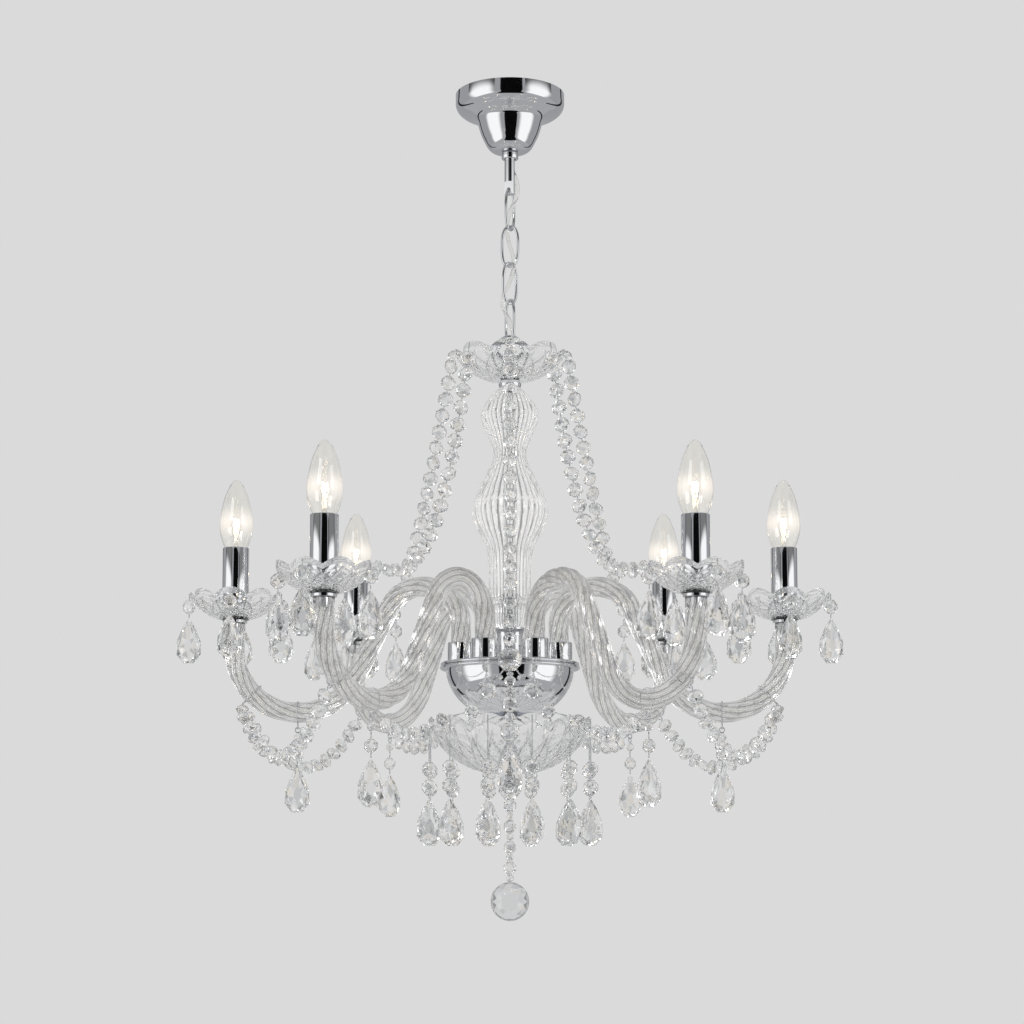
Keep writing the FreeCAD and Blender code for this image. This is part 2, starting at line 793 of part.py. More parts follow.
def hoop(point, forward):
    """Wire hoop round an arm, with a small eye below it in the same plane."""
    loop = ring(point, forward, hoop_radius, pin_radius)
    down = V(0, 1, 0).cross(forward)
    return loop.fuse(ring(point + down * eye_below_hoop, forward, ring_radius, pin_radius))


swag_hoop_point = arm_point(bay_radius, swag_hoop_angle, bay_u, bay_z)
swag_hoop_heading = V(-math.sin(swag_hoop_angle), 0, math.cos(swag_hoop_angle))
low_hoop_point = arm_point(bay_radius, -math.pi / 2, bay_u, bay_z)


def arm_hoops():
    return on_arms(hoop(low_hoop_point, V(1, 0, 0))) + on_arms(hoop(swag_hoop_point, swag_hoop_heading))


# Candles, on the axis of the arm's end

def candle_nipple():
    top = sleeve_z + nipple_rise
    body = disc(nipple_radius, arm_end_z - nipple_depth, top, arm_reach)
    body = body.fuse(disc(washer_radius, arm_end_z, bobeche_z, arm_reach))
    return body.cut(disc(wire_bore_radius, arm_end_z - nipple_depth - 1, top + 1, arm_reach))


def candle_spot(index):
    return arm_place(index).multVec(V(arm_reach, 0, 0))


def bobeche_angle(index):
    return -bobeche_turn * side_of(arm_directions[index])


def bobeche(index):
    dish = scalloped_dish(bobeche_radius, bobeche_depth, bobeche_floor, bobeche_lobes, bobeche_angle(index),
                          washer_radius, sleeve_radius + 1, nipple_radius + bore_gap)
    dish.translate(candle_spot(index) + V(0, 0, bobeche_z))
    return dish


def lampholder():
    body = disc(holder_radius, sleeve_z, holder_top_z, arm_reach)
    body = body.cut(disc(nipple_radius + bore_gap, sleeve_z - 1, sleeve_z + nipple_rise + 2, arm_reach))
    return body.cut(disc(holder_bore_radius, holder_top_z - holder_bore_depth, holder_top_z + 1, arm_reach))


def candle_sleeve():
    return tube(sleeve_radius, sleeve_radius - sleeve_wall, sleeve_z, sleeve_z + sleeve_height, arm_reach)


def bulb():
    neck = bulb_neck_radius
    wide = bulb_radius
    tall = bulb_height
    wall = bulb_wall
    outside = turned((0, 0), (neck, 0), ((wide * 0.86, tall * 0.15), (wide, tall * 0.36)),
                     ((wide * 0.79, tall * 0.68), (wide * 0.2, tall * 0.965)), (wide * 0.07, tall),
                     (0, tall))
    inside = turned((0, -1), (neck - wall, -1), (neck - wall, 0),
                    ((wide * 0.86 - wall, tall * 0.15), (wide - wall, tall * 0.36)),
                    ((wide * 0.79 - wall, tall * 0.68), (wide * 0.2 - wall, tall * 0.965 - wall)),
                    (0, tall * 0.965 - wall))
    glass = outside.cut(inside)
    cap = turned((0, -cap_height - 3), (3, -cap_height - 3), (3, -cap_height), (cap_radius, -cap_height),
                 (cap_radius, -cap_skirt_height), (neck, -cap_skirt_height), (neck, 0), (0, 0))
    mount = turned((0, 0), (3.5, 0), (1.8, 8), (1.8, 20), (0, 22))
    solids = [glass, cap, mount]
    for solid in solids:
        solid.translate(V(arm_reach, 0, bulb_z))
    return Part.makeCompound(solids)


# Crystal

hook_reach = hook_gap + pin_radius


def rim_point(centre, radius, degrees, rim_z):
    """Place of a hook just outside a lobe of a scalloped rim."""
    spot = polar(radius + hook_reach, degrees)
    return V(centre.x + spot.x, centre.y + spot.y, rim_z - 2)


def hanging_route(start, end, slack):
    """Strand that falls steeply from its start and reaches its end almost level."""
    def route(share):
        point = start + (end - start) * share
        point.z = end.z + (start.z - end.z) * (1 - share) ** slack
        return point
    return route


def sagging_route(start, end, sag):
    def route(share):
        point = start + (end - start) * share
        point.z -= 4 * sag * share * (1 - share)
        return point
    return route


def nearest_free_lobe(index):
    """Lobe of a bobeche without a drop that looks most towards the middle of the chandelier."""
    inward = arm_directions[index] + 180
    lobes = [bobeche_angle(index) + 45 + 90 * step for step in range(4)]
    return min(lobes, key=lambda lobe: -math.cos(math.radians(lobe - inward)))


bobeche_rim_z = bobeche_z + bobeche_depth
top_rim_z = top_dish_z + top_dish_depth
bottom_rim_z = bottom_dish_z + bottom_dish_depth
AXIS = V(0, 0, 0)
# Arm index, lobe of the top dish, slack of the strand
dish_strand_plan = ((1, 0.0, strand_slack_back), (2, 180.0, strand_slack_back),
                    (4, 225.0, strand_slack_front), (5, 315.0, strand_slack_front))


def dish_strands():
    solids = []
    for index, lobe, slack in dish_strand_plan:
        start = rim_point(AXIS, top_dish_radius, lobe, top_rim_z)
        end = rim_point(candle_spot(index), bobeche_radius, nearest_free_lobe(index), bobeche_rim_z)
        solids += strand(hanging_route(start, end, slack), outward_from_axis)
    return solids


def bead_reach(step):
    """Distance from a bead's middle to its edge, in a direction across its face."""
    off_flat = math.degrees(math.atan2(abs(step.x), abs(step.z))) % 45
    return BEAD_TOP / math.cos(math.radians(min(off_flat, 45 - off_flat)))


def beads_at(stops, outward):
    """Beads of given sizes at given places, joined by pins; size 0 is a bare end of wire."""
    solids = []
    for point, scale in stops:
        if scale:
            solids.append(placed(scaled_bead(scale), facing(point, Z_AXIS, outward)))
    for (start, first), (end, last) in zip(stops, stops[1:]):
        step = V(end.x - start.x, 0, end.z - start.z).normalize()
        reach = bead_reach(step)
        solids.append(rod_between(start + step * (reach * first + seat_gap),
                                  end - step * (reach * last + seat_gap), pin_radius))
    return solids


hub_bead_y = -plate_radius - hub_bead_scale * bead_thickness / 2 - slide_gap
hub_bead_z = (plate_top_z + bowl_top_z) / 2
trim_y = -bottom_dish_radius - trim_bead_scale * bead_thickness / 2 - slide_gap


def column_strands():
    start = rim_point(AXIS, top_dish_radius, 270, top_rim_z)
    end = V(0, hub_bead_y, hub_bead_z + hub_bead_scale * BEAD_TOP + seat_gap)
    front = strand(sagging_route(start, end, 0), outward_from_axis)
    half_turn = FreeCAD.Placement(AXIS, FreeCAD.Rotation(Z_AXIS, 180))
    return front + [placed(solid, half_turn) for solid in front]


def hub_trim():
    """Net of larger beads over the front of the hub, with a drop, and the same at the back."""
    front = V(0, -1, 0)
    hub = V(0, hub_bead_y, hub_bead_z)
    fall = bottom_rim_z - hub_bead_z
    middle = [(hub, hub_bead_scale), (V(0, (hub_bead_y + trim_y) / 2, hub_bead_z + fall * 0.42), 0.85),
              (V(0, trim_y, hub_bead_z + fall * 0.85), trim_bead_scale),
              (V(0, trim_y, bottom_rim_z - 20), trim_bead_scale * 1.15)]
    solids = beads_at(middle, front)
    pear = pear_drop()
    top = middle[-1][0].z - trim_bead_scale * 1.15 * BEAD_TOP - seat_gap
    solids.append(rod_between(V(0, trim_y, top - drop_pin_length), V(0, trim_y, top), pin_radius))
    solids.append(placed(pear, facing(V(0, trim_y, top - drop_pin_length - seat_gap), Z_AXIS, front)))
    for side in (-1, 1):
        half_way = V(side * 21, (hub_bead_y + trim_y) / 2, hub_bead_z + fall * 0.6)
        rim_end = rim_point(AXIS, bottom_dish_radius, 270 + side * 42, bottom_rim_z)
        solids += beads_at([(hub, hub_bead_scale), (half_way, trim_bead_scale),
                            (V(side * 38, trim_y * 0.92, bottom_rim_z + 1), 1.0), (rim_end, 0)], front)[1:]
    half_turn = FreeCAD.Placement(AXIS, FreeCAD.Rotation(Z_AXIS, 180))
    return solids + [placed(solid, half_turn) for solid in solids]


def swag_end(index):
    """Just below the eye of the hoop that a side swag hangs from."""
    down = V(0, 1, 0).cross(swag_hoop_heading)
    below = eye_below_hoop + ring_radius + pin_radius + hook_gap
    return arm_place(index).multVec(swag_hoop_point + down * below)


bottom_lobe_step = 360.0 / bottom_dish_lobes


def beside_lobe(degrees):
    """Place on the bottom dish's rim just beside the hook of the lobe nearest to a direction."""
    lobe = bottom_lobe_step * (math.floor(degrees / bottom_lobe_step) + 0.5)
    return lobe - 3 * side_of(lobe)


def arm_swags():
    """Swags from each side arm to its neighbours, and from the other arms to the bottom dish."""
    solids = []
    for side_arm, neighbours in ((0, (1, 5)), (3, (2, 4))):
        for other in neighbours:
            start = swag_end(side_arm)
            end = swag_end(other)
            across = (end - start).cross(Z_AXIS)
            step = V(end.x - start.x, end.y - start.y, 0).normalize() * (pin_radius + hook_gap / 2)
            solids += strand(sagging_route(start + step, end - step, side_swag_sag), lambda point: across)
    for index in (1, 2, 4, 5):
        low = arm_place(index).multVec(low_hoop_point)
        inward = V(-low.x, -low.y, 0).normalize()
        start = V(low.x, low.y, low.z - hoop_radius) + inward * (2 * pin_radius + seat_gap)
        end = rim_point(AXIS, bottom_dish_radius, beside_lobe(arm_directions[index]), bottom_rim_z)
        across = (end - start).cross(Z_AXIS)
        solids += strand(sagging_route(start, end, dish_swag_sag), lambda point: across, dish_swag_lead)
    return solids


def bobeche_drops():
    solids = []
    for index in range(arm_count):
        centre = candle_spot(index)
        for step in range(4):
            angle = bobeche_angle(index) + 90 * step
            hook = rim_point(centre, bobeche_radius, angle, bobeche_rim_z)
            solids += drop(hook, 1, polar(1, angle))
    return solids


def dish_drops():
    solids = []
    for lobe in range(bottom_dish_lobes):
        angle = bottom_lobe_step * (lobe + 0.5)
        hook = rim_point(AXIS, bottom_dish_radius, angle, bottom_rim_z)
        hook.z -= 38
        solids.append(rod_between(hook, V(hook.x, hook.y, hook.z + 38), pin_radius))
        solids += drop(V(hook.x, hook.y, hook.z - seat_gap), 2, polar(1, angle))
    return solids


arm_drop_pivot = V(bay_u, 0, low_hoop_point.z - eye_below_hoop - ring_radius)
arm_drop_pin = 9.0


def hung_ring(pivot, axis):
    """Ring that hangs in an eye whose lowest point is the pivot."""
    centre = pivot + V(0, 0, 2 * pin_radius + seat_gap - ring_radius)
    return ring(centre, axis, ring_radius, pin_radius)


ring_below_pivot = 2 * ring_radius - pin_radius - seat_gap


def arm_drop():
    """Drop in the plane of the arm, hung in the eye of the low hoop."""
    solids = [hung_ring(arm_drop_pivot, V(0, 1, 0))]
    start = arm_drop_pivot - V(0, 0, ring_below_pivot)
    end = start - V(0, 0, arm_drop_pin)
    solids.append(rod_between(end, start, pin_radius))
    solids += drop(end - V(0, 0, seat_gap), 1, V(0, -1, 0))
    return Part.makeCompound(solids)


ball_pivot = V(0, 0, finial_eye_z - ring_radius)
ball_bead_count = 4
ball_pin = 8.0


def ball_drop():
    solids = [hung_ring(ball_pivot, V(1, 0, 0))]
    z = ball_pivot.z - ring_below_pivot
    for bead in range(ball_bead_count):
        pin_end = V(0, 0, z - ball_pin)
        solids.append(rod_between(pin_end, V(0, 0, z), pin_radius))
        centre = pin_end - V(0, 0, seat_gap + BEAD_TOP)
        solids.append(placed(BEAD, facing(centre, Z_AXIS, V(0, -1, 0))))
        z = centre.z - BEAD_TOP - seat_gap
    solids.append(rod_between(V(0, 0, z - ball_pin), V(0, 0, z), pin_radius))
    rings = []
    for latitude in (-75, -45, -15, 15, 45, 75):
        lift = ball_radius * math.sin(math.radians(latitude))
        flat = ball_radius * math.cos(math.radians(latitude))
        rings.append([polar(flat, 30 * corner, lift) for corner in range(12)])
    ball = faceted(rings)
    ball.translate(V(0, 0, z - ball_pin - seat_gap - ball_radius * math.sin(math.radians(75))))
    return Part.makeCompound(solids + [ball])


def build():
    pieces = {
        "rose_canopy": rose_canopy(), "rose_collar_nut": collar_nut(), "ceiling_bracket": ceiling_bracket(),
        "bracket_nuts": bracket_nuts(), "terminal_block": terminal_block(), "stem": stem(),
        "supply_cable": cord_tube(cable_route(), cable_radius), "hanger_loop": hanger_loop(),
        "top_dish": top_dish(), "top_collar": top_collar(), "column": column(),
        "column_base": column_base(), "lower_collar": lower_collar(), "hub_plate": hub_plate(),
        "arm_cups": arm_cups(), "hub_bowl": hub_bowl(), "bowl_spacer": bowl_spacer(),
        "bottom_dish": bottom_dish(), "bottom_finial": bottom_finial(),
        "centre_rod": centre_rod(), "arm_wires": arm_wires(), "arm_hoops": arm_hoops(),
        "candle_nipples": on_arms(candle_nipple()), "lampholders": on_arms(lampholder()),
        "candle_sleeves": on_arms(candle_sleeve()), "dish_strands": dish_strands(),
        "column_strands": column_strands(), "hub_trim": hub_trim(), "arm_swags": arm_swags(),
        "bobeche_drops": bobeche_drops(), "dish_drops": dish_drops(), "ball_drop": ball_drop()}
    for index in range(len(link_turns)):
        pieces["chain_link_%d" % (index + 1)] = chain_link(index)
    repeated = {"arm": on_arms(twisted_arm()), "bulb": on_arms(bulb()), "arm_drop": on_arms(arm_drop()),
                "bobeche": [bobeche(index) for index in range(arm_count)]}
    for name, shapes in repeated.items():
        for index, shape in enumerate(shapes):
            pieces["%s_%d" % (name, index + 1)] = shape
    return pieces


os.makedirs("parts", exist_ok=True)
for name, shape in build().items():
    whole = Part.makeCompound(shape) if isinstance(shape, list) else shape
    whole.exportStep(os.path.join("parts", name + ".step"))
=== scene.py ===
import math
import random
import bmesh
import bpy
from mathutils import Matrix, Vector
from mathutils.geometry import interpolate_bezier


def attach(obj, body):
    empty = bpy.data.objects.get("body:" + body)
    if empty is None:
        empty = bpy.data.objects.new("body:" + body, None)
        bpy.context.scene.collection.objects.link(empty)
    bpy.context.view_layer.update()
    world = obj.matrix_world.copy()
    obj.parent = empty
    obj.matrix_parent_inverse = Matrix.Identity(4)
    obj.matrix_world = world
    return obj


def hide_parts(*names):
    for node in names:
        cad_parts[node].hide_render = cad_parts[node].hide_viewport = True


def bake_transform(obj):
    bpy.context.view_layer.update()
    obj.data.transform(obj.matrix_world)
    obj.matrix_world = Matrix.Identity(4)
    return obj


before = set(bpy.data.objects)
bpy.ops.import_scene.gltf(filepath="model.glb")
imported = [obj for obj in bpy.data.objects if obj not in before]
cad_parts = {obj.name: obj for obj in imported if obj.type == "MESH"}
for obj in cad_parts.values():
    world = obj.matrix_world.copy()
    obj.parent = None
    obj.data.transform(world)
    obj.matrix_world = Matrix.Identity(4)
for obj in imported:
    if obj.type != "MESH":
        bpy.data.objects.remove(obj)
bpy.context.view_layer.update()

# Sizes in millimetres, as on the CAD model; the scene is in metres
MM = 0.001
ARM_COUNT = 6
CUP_ANGLES = [60.0 * index for index in range(ARM_COUNT)]
ARM_DIRECTIONS = [0.0, 50.3, 129.7, 180.0, 230.3, 309.7]
CUP_CIRCLE = 50.4
ARM_REACH = 234.2
PLATE_TOP = -604.3
BOWL_TOP = -611.8
SPACER_TOP = -660.8
BOTTOM_DISH = -719.0
TOP_DISH = -308.3
COLUMN_TOP = -315.8
COLUMN_HEIGHT = 219.0
BASE_TOP = -534.8
COLLAR_TOP = -568.3
BOBECHE_Z = -560.3
SLEEVE_Z = -556.3
BULB_Z = -488.8
ROD_BORE = 5.1
WIRE_BORE = 2.6
FRAME = "chandelier_frame"


# Materials

def linear(text):
    """Linear colour from an sRGB hex value."""
    parts = [int(text[place:place + 2], 16) / 255 for place in (1, 3, 5)]
    return tuple(p / 12.92 if p <= 0.04045 else ((p + 0.055) / 1.055) ** 2.4 for p in parts) + (1.0,)


def add(tree, kind, inputs=(), **settings):
    """A node with its settings, and with values or links on its input sockets."""
    made = tree.nodes.new(kind)
    for name, value in settings.items():
        setattr(made, name, value)
    for socket, value in dict(inputs).items():
        if isinstance(value, bpy.types.NodeSocket):
            tree.links.new(value, made.inputs[socket])
        else:
            made.inputs[socket].default_value = value
    return made


def material(name):
    made = bpy.data.materials.new(name)
    made.use_nodes = True
    made.node_tree.nodes.clear()
    return made, made.node_tree


def surface(tree, shader):
    add(tree, "ShaderNodeOutputMaterial", {"Surface": shader})


def per_metre(size_mm):
    """Scale of a noise whose lumps are about this size."""
    return 1.0 / (size_mm * MM)


def polished_chrome():
    """Chrome plate on turned steel: a mirror, with a faint haze where it has been wiped."""
    made, tree = material("polished_chrome")
    place = add(tree, "ShaderNodeTexCoord").outputs["Object"]
    haze = add(tree, "ShaderNodeTexNoise", {"Vector": place, "Scale": per_metre(14), "Detail": 3.0})
    rough = add(tree, "ShaderNodeMapRange", {"Value": haze.outputs["Fac"], "From Min": 0.35,
                                             "From Max": 0.75, "To Min": 0.025, "To Max": 0.075})
    ripple = add(tree, "ShaderNodeTexNoise", {"Vector": place, "Scale": per_metre(22), "Detail": 1.0})
    bump = add(tree, "ShaderNodeBump", {"Height": ripple.outputs["Fac"], "Strength": 0.02,
                                        "Distance": 0.0006})
    metal = add(tree, "ShaderNodeBsdfPrincipled", {"Base Color": linear("#E3E4E6"), "Metallic": 1.0,
                                                   "Roughness": rough.outputs["Result"],
                                                   "Normal": bump.outputs["Normal"]})
    surface(tree, metal.outputs["BSDF"])
    return made


def clear_glass(name, colour, ior, ripple_mm, ripple_depth, roughness):
    """Clear glass with the soft ripple that the mould or the flame leaves on it."""
    made, tree = material(name)
    place = add(tree, "ShaderNodeTexCoord").outputs["Object"]
    ripple = add(tree, "ShaderNodeTexNoise", {"Vector": place, "Scale": per_metre(ripple_mm),
                                              "Detail": 2.0})
    bump = add(tree, "ShaderNodeBump", {"Height": ripple.outputs["Fac"], "Strength": 0.5,
                                        "Distance": ripple_depth * MM})
    glass = add(tree, "ShaderNodeBsdfPrincipled", {"Base Color": linear(colour), "Transmission Weight": 1.0,
                                                   "IOR": ior, "Roughness": roughness,
                                                   "Normal": bump.outputs["Normal"]})
    surface(tree, glass.outputs["BSDF"])
    return made


def glass_painted_groove_shade_and_glow(name, dark, glow, ior):
    """Clear glass with painted shade in its grooves, which shows as grey lines, and a painted glow that
    stands in for the bulbs' light it carries.
    """
    made, tree = material(name)
    groove = add(tree, "ShaderNodeAttribute", attribute_name="groove")
    # Painted shade: the groove attribute mixes the glass colour from white to a dark tone in the grooves.
    tone = add(tree, "ShaderNodeMix", {"Factor": groove.outputs["Fac"], "A": linear("#FFFFFF"),
                                       "B": linear(dark)}, data_type="RGBA")
    # Painted glow: the emission makes the glass shine though it is no lamp.
    glass = add(tree, "ShaderNodeBsdfPrincipled",
                {"Base Color": tone.outputs["Result"], "Transmission Weight": 1.0, "IOR": ior,
                 "Roughness": 0.02, "Emission Color": linear("#FFFDFA"), "Emission Strength": glow})
    surface(tree, glass.outputs["BSDF"])
    return made


def bulb_glass_painted_glow():
    """Clear blown glass with a painted warm glow, strongest at the coil's height, that stands in for the hot
    coil's light in the glass.
    """
    made, tree = material("bulb_glass_painted_glow")
    # Painted glow: the haze attribute sets how strongly the glass itself shines.
    haze = add(tree, "ShaderNodeAttribute", attribute_name="haze")
    glass = add(tree, "ShaderNodeBsdfPrincipled",
                {"Base Color": linear("#FFFEFB"), "Transmission Weight": 1.0, "IOR": 1.5,
                 "Roughness": 0.0, "Emission Color": linear("#FFEEDD"),
                 "Emission Strength": haze.outputs["Fac"]})
    surface(tree, glass.outputs["BSDF"])
    return made


def cut_crystal():
    """Lead crystal, ground and polished flat: each facet has its own faint prismatic tint."""
    made, tree = material("cut_crystal")
    tint = add(tree, "ShaderNodeAttribute", attribute_name="facet_tint")
    glass = add(tree, "ShaderNodeBsdfPrincipled",
                {"Base Color": tint.outputs["Color"], "Transmission Weight": 1.0, "IOR": 1.6,
                 "Roughness": 0.0})
    surface(tree, glass.outputs["BSDF"])
    return made


def grained(name, colour, dark, grain_mm, metallic, rough_low, rough_high):
    """Plain finish whose colour and gloss drift over grains of a given size."""
    made, tree = material(name)
    place = add(tree, "ShaderNodeTexCoord").outputs["Object"]
    grain = add(tree, "ShaderNodeTexNoise", {"Vector": place, "Scale": per_metre(grain_mm), "Detail": 4.0})
    tone = add(tree, "ShaderNodeMix", {"Factor": grain.outputs["Fac"], "A": linear(dark),
                                       "B": linear(colour)}, data_type="RGBA")
    rough = add(tree, "ShaderNodeMapRange", {"Value": grain.outputs["Fac"], "To Min": rough_low,
                                             "To Max": rough_high})
    bump = add(tree, "ShaderNodeBump", {"Height": grain.outputs["Fac"], "Strength": 0.1,
                                        "Distance": 0.0003})
    body = add(tree, "ShaderNodeBsdfPrincipled",
               {"Base Color": tone.outputs["Result"], "Metallic": metallic,
                "Roughness": rough.outputs["Result"], "Normal": bump.outputs["Normal"]})
    surface(tree, body.outputs["BSDF"])
    return made


def lit_filament():
    """Tungsten coil at working heat."""
    made, tree = material("lit_filament")
    glow = add(tree, "ShaderNodeEmission", {"Color": linear("#FFE9C4"), "Strength": 14.0})
    surface(tree, glow.outputs["Emission"])
    return made


CHROME = polished_chrome()
# Each glass gets a dark painted groove shade colour and a painted glow strength.
ARM_GLASS = glass_painted_groove_shade_and_glow("rope_twist_glass", "#858483", 0.02, 1.5)
PAINTED_GLOW_BULB_GLASS = bulb_glass_painted_glow()
DISH_GLASS = glass_painted_groove_shade_and_glow("pressed_cut_glass", "#747676", 0.0, 1.52)
COLUMN_GLASS = glass_painted_groove_shade_and_glow("fluted_column_glass", "#A9A9A8", 0.03, 1.5)
BULB_GLASS = clear_glass("blown_bulb_glass", "#FFFEFB", 1.5, 15.0, 0.02, 0.0)
CRYSTAL = cut_crystal()
STEEL = grained("zinc_plated_steel", "#B4B6B8", "#9A9C9F", 3.0, 1.0, 0.28, 0.42)
BRASS = grained("turned_brass", "#C9A75A", "#A98843", 2.0, 1.0, 0.2, 0.34)
WHITE_PLASTIC = grained("moulded_white_plastic", "#DEDCD6", "#D2D0C9", 1.2, 0.0, 0.42, 0.58)
SHEATH = clear_glass("clear_cable_sheath", "#F6F6F3", 1.36, 4.0, 0.2, 0.1)
ARM_WIRE = clear_glass("clear_arm_wire", "#FBFBF8", 1.42, 4.0, 0.1, 0.1)
FILAMENT = lit_filament()


# Making of pieces

def keep(bm, name, finish, body, slot, nodes=(), smooth=True, sharp=38.0, materials=()):
    """A finished mesh as a piece that rides on a body and stands for some CAD nodes."""
    mesh = bpy.data.meshes.new(name)
    bm.to_mesh(mesh)
    bm.free()
    for one in (finish,) + tuple(materials):
        mesh.materials.append(one)
    if smooth:
        mesh.shade_smooth()
        mesh.set_sharp_from_angle(angle=math.radians(sharp))
    piece = bpy.data.objects.new(name, mesh)
    bpy.context.collection.objects.link(piece)
    if body:
        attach(piece, body)
    if nodes:
        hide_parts(*nodes)
    return piece


def curved(start, bend_start, bend_end, end, count=10):
    """Profile points along a soft curve, without its first point."""
    flat = [Vector((point[0], point[1], 0)) for point in (start, bend_start, bend_end, end)]
    return [(point.x, point.y) for point in interpolate_bezier(*flat, count)][1:]


def spun(bm, profile, steps=96):
    """Turns a closed profile of radius and height round the Z axis; its edges on the axis are left out."""
    verts = [bm.verts.new((radius * MM, 0, z * MM)) for radius, z in profile]
    sides = zip(verts, verts[1:] + verts[:1])
    edges = [bm.edges.new(pair) for pair in sides if max(vert.co.x for vert in pair) > 0]
    bmesh.ops.spin(bm, geom=verts + edges, cent=(0, 0, 0), axis=(0, 0, 1), angle=2 * math.pi, steps=steps,
                   use_merge=True)
    bmesh.ops.remove_doubles(bm, verts=bm.verts, dist=1e-6)
    bmesh.ops.recalc_face_normals(bm, faces=bm.faces)


def moved(bm, matrix):
    bmesh.ops.transform(bm, matrix=matrix, verts=bm.verts)


def turned_piece(name, profile, finish, body, slot, nodes=(), steps=96, sharp=38.0):
    bm = bmesh.new()
    spun(bm, profile, steps)
    return keep(bm, name, finish, body, slot, nodes, sharp=sharp)


def next_ring(bm, loop):
    """Draws a ring of edges on by one step, and gives the new ring's points and edges."""
    grown = bmesh.ops.extrude_edge_only(bm, edges=loop)["geom"]
    points = [item for item in grown if isinstance(item, bmesh.types.BMVert)]
    edges = [item for item in grown if isinstance(item, bmesh.types.BMEdge)
             and all(vert in points for vert in item.verts)]
    return points, edges


def arm_matrix(index):
    """Place of an arm's foot in its cup, with X along the arm."""
    angle = math.radians(CUP_ANGLES[index])
    seat = Vector((CUP_CIRCLE * math.cos(angle), CUP_CIRCLE * math.sin(angle), 0)) * MM
    return Matrix.Translation(seat) @ Matrix.Rotation(math.radians(ARM_DIRECTIONS[index]), 4, "Z")


def candle_matrix(index):
    """Place of the candle at an arm's end."""
    return arm_matrix(index) @ Matrix.Translation((ARM_REACH * MM, 0, 0))


def repeated(make, matrices):
    """Copies of one mesh at several places, in one mesh."""
    whole = bmesh.new()
    for matrix in matrices:
        one = bmesh.new()
        make(one)
        moved(one, matrix)
        part = bpy.data.meshes.new("part")
        one.to_mesh(part)
        one.free()
        whole.from_mesh(part)
        bpy.data.meshes.remove(part)
    return whole


# Camera at the photograph's place
LENS_PX = 2305.1
IMAGE_PX = 1024
SENSOR_MM = 36
CAMERA_PLACE = (0, -2.37255, -0.82526)
CAMERA_TILT = 6.0172
camera = bpy.data.cameras.new("camera")
camera.lens = LENS_PX / IMAGE_PX * SENSOR_MM
camera.sensor_width = SENSOR_MM
camera.shift_x = 0.002
camera.shift_y = 0.12
camera_object = bpy.data.objects.new("camera", camera)
camera_object.location = CAMERA_PLACE
camera_object.rotation_euler = (math.radians(90 + CAMERA_TILT), 0, 0)
bpy.context.collection.objects.link(camera_object)
bpy.context.scene.camera = camera_object


# Supply cable: one span from each link to the next, so that each bends at one joint
CABLE_RADIUS = 2.0
CABLE_SPANS = (
    ((0, 19.5, -24.1), (0, 19.5, -34), (0, 0, -56), (0, 0, -74.5), (11.5, 0, -104), (4.6, 0, -116)),
    ((4.6, 0, -116), (0, 0, -124), (-4.12, 10.74, -144), (-1.6, 4.2, -156)),
    ((-1.6, 4.2, -156), (0, 0, -163.7), (5.4, -10.15, -183.7), (2.1, -4, -195.7)),
    ((2.1, -4, -195.7), (0, 0, -203.4), (-11.29, 2.19, -223.4), (-4.5, 0.9, -235.2)),
    ((-4.5, 0.9, -235.2), (0, 0, -243.1), (5.92, 9.86, -263.1), (1.5, 9.5, -278.3), (0, 6, -287.8),
     (0, 6, -296.3)))


def cable_span(index, points):
    """A round sheath along one smooth line, bending at the joint between two links."""
    curve = bpy.data.curves.new("cable_route", "CURVE")
    curve.dimensions = "3D"
    line = curve.splines.new("NURBS")
    line.points.add(len(points) - 1)
    for spot, point in zip(line.points, points):
        spot.co = (point[0] * MM, point[1] * MM, point[2] * MM, 1)
    line.order_u = 3
    line.use_endpoint_u = True
    line.resolution_u = 12
    route = bpy.data.objects.new("cable_route", curve)
    centreline = bpy.data.meshes.new_from_object(route)
    path = [vert.co.copy() for vert in centreline.vertices]
    curve.bevel_depth = CABLE_RADIUS * MM
    curve.bevel_resolution = 6
    curve.use_fill_caps = True
    sheath = bpy.data.meshes.new_from_object(route)
    bm = bmesh.new()
    bm.from_mesh(sheath)
    bmesh.ops.remove_doubles(bm, verts=bm.verts, dist=1e-6)
    bmesh.ops.recalc_face_normals(bm, faces=bm.faces)
    for spare in (centreline, sheath):
        bpy.data.meshes.remove(spare)
    bpy.data.objects.remove(route)
    bpy.data.curves.remove(curve)
    piece = keep(bm, "cable_span_%d" % (index + 1), SHEATH, None, "cable_sheath", ["supply_cable"],
                 sharp=60)
    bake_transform(piece)
    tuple(path[0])


for span, points in enumerate(CABLE_SPANS):
    cable_span(span, points)


# Ceiling rose, nut and chain
rose = [(57.5, 0), (57.5, -10)]
rose += curved((57.5, -10), (57.3, -15.5), (53, -20), (46, -22))
rose += curved((46, -22), (39, -24), (35.2, -26.5), (33.9, -31))
rose += curved((33.9, -31), (32.2, -38), (30, -45), (26.7, -50.5))
rose += curved((26.7, -50.5), (23.5, -58), (20, -61.6), (14, -62))
rose += [(6.05, -62), (6.05, -60.8), (14, -60.8), (20.5, -57.5), (25.4, -50), (30.8, -39), (32.6, -31),
         (37, -25), (45, -20.8), (54, -15), (56.3, -10), (56.3, 0)]
turned_piece("rose_shell", rose, CHROME, "rose", "chrome", ["rose_canopy"], steps=128)
nut = [(6.05, -62.3), (8.2, -62.3), (8.8, -62.9), (8.8, -69), (8.2, -69.6), (6.05, -69.6)]
turned_piece("rose_ring_nut", nut, CHROME, "rose_nut", "chrome", ["rose_collar_nut"], steps=64, sharp=60)

LINK_TURNS = (62.0, -20.0, 40.0, -62.0)
LINK_TOPS = (-102.5, -142.2, -181.9, -221.6)
LINK_LENGTH = 43.0
LINK_HALF = 9.0
LINK_WIRE = 1.5
LINK_STEPS = 64
LINK_ROUND = 0.76


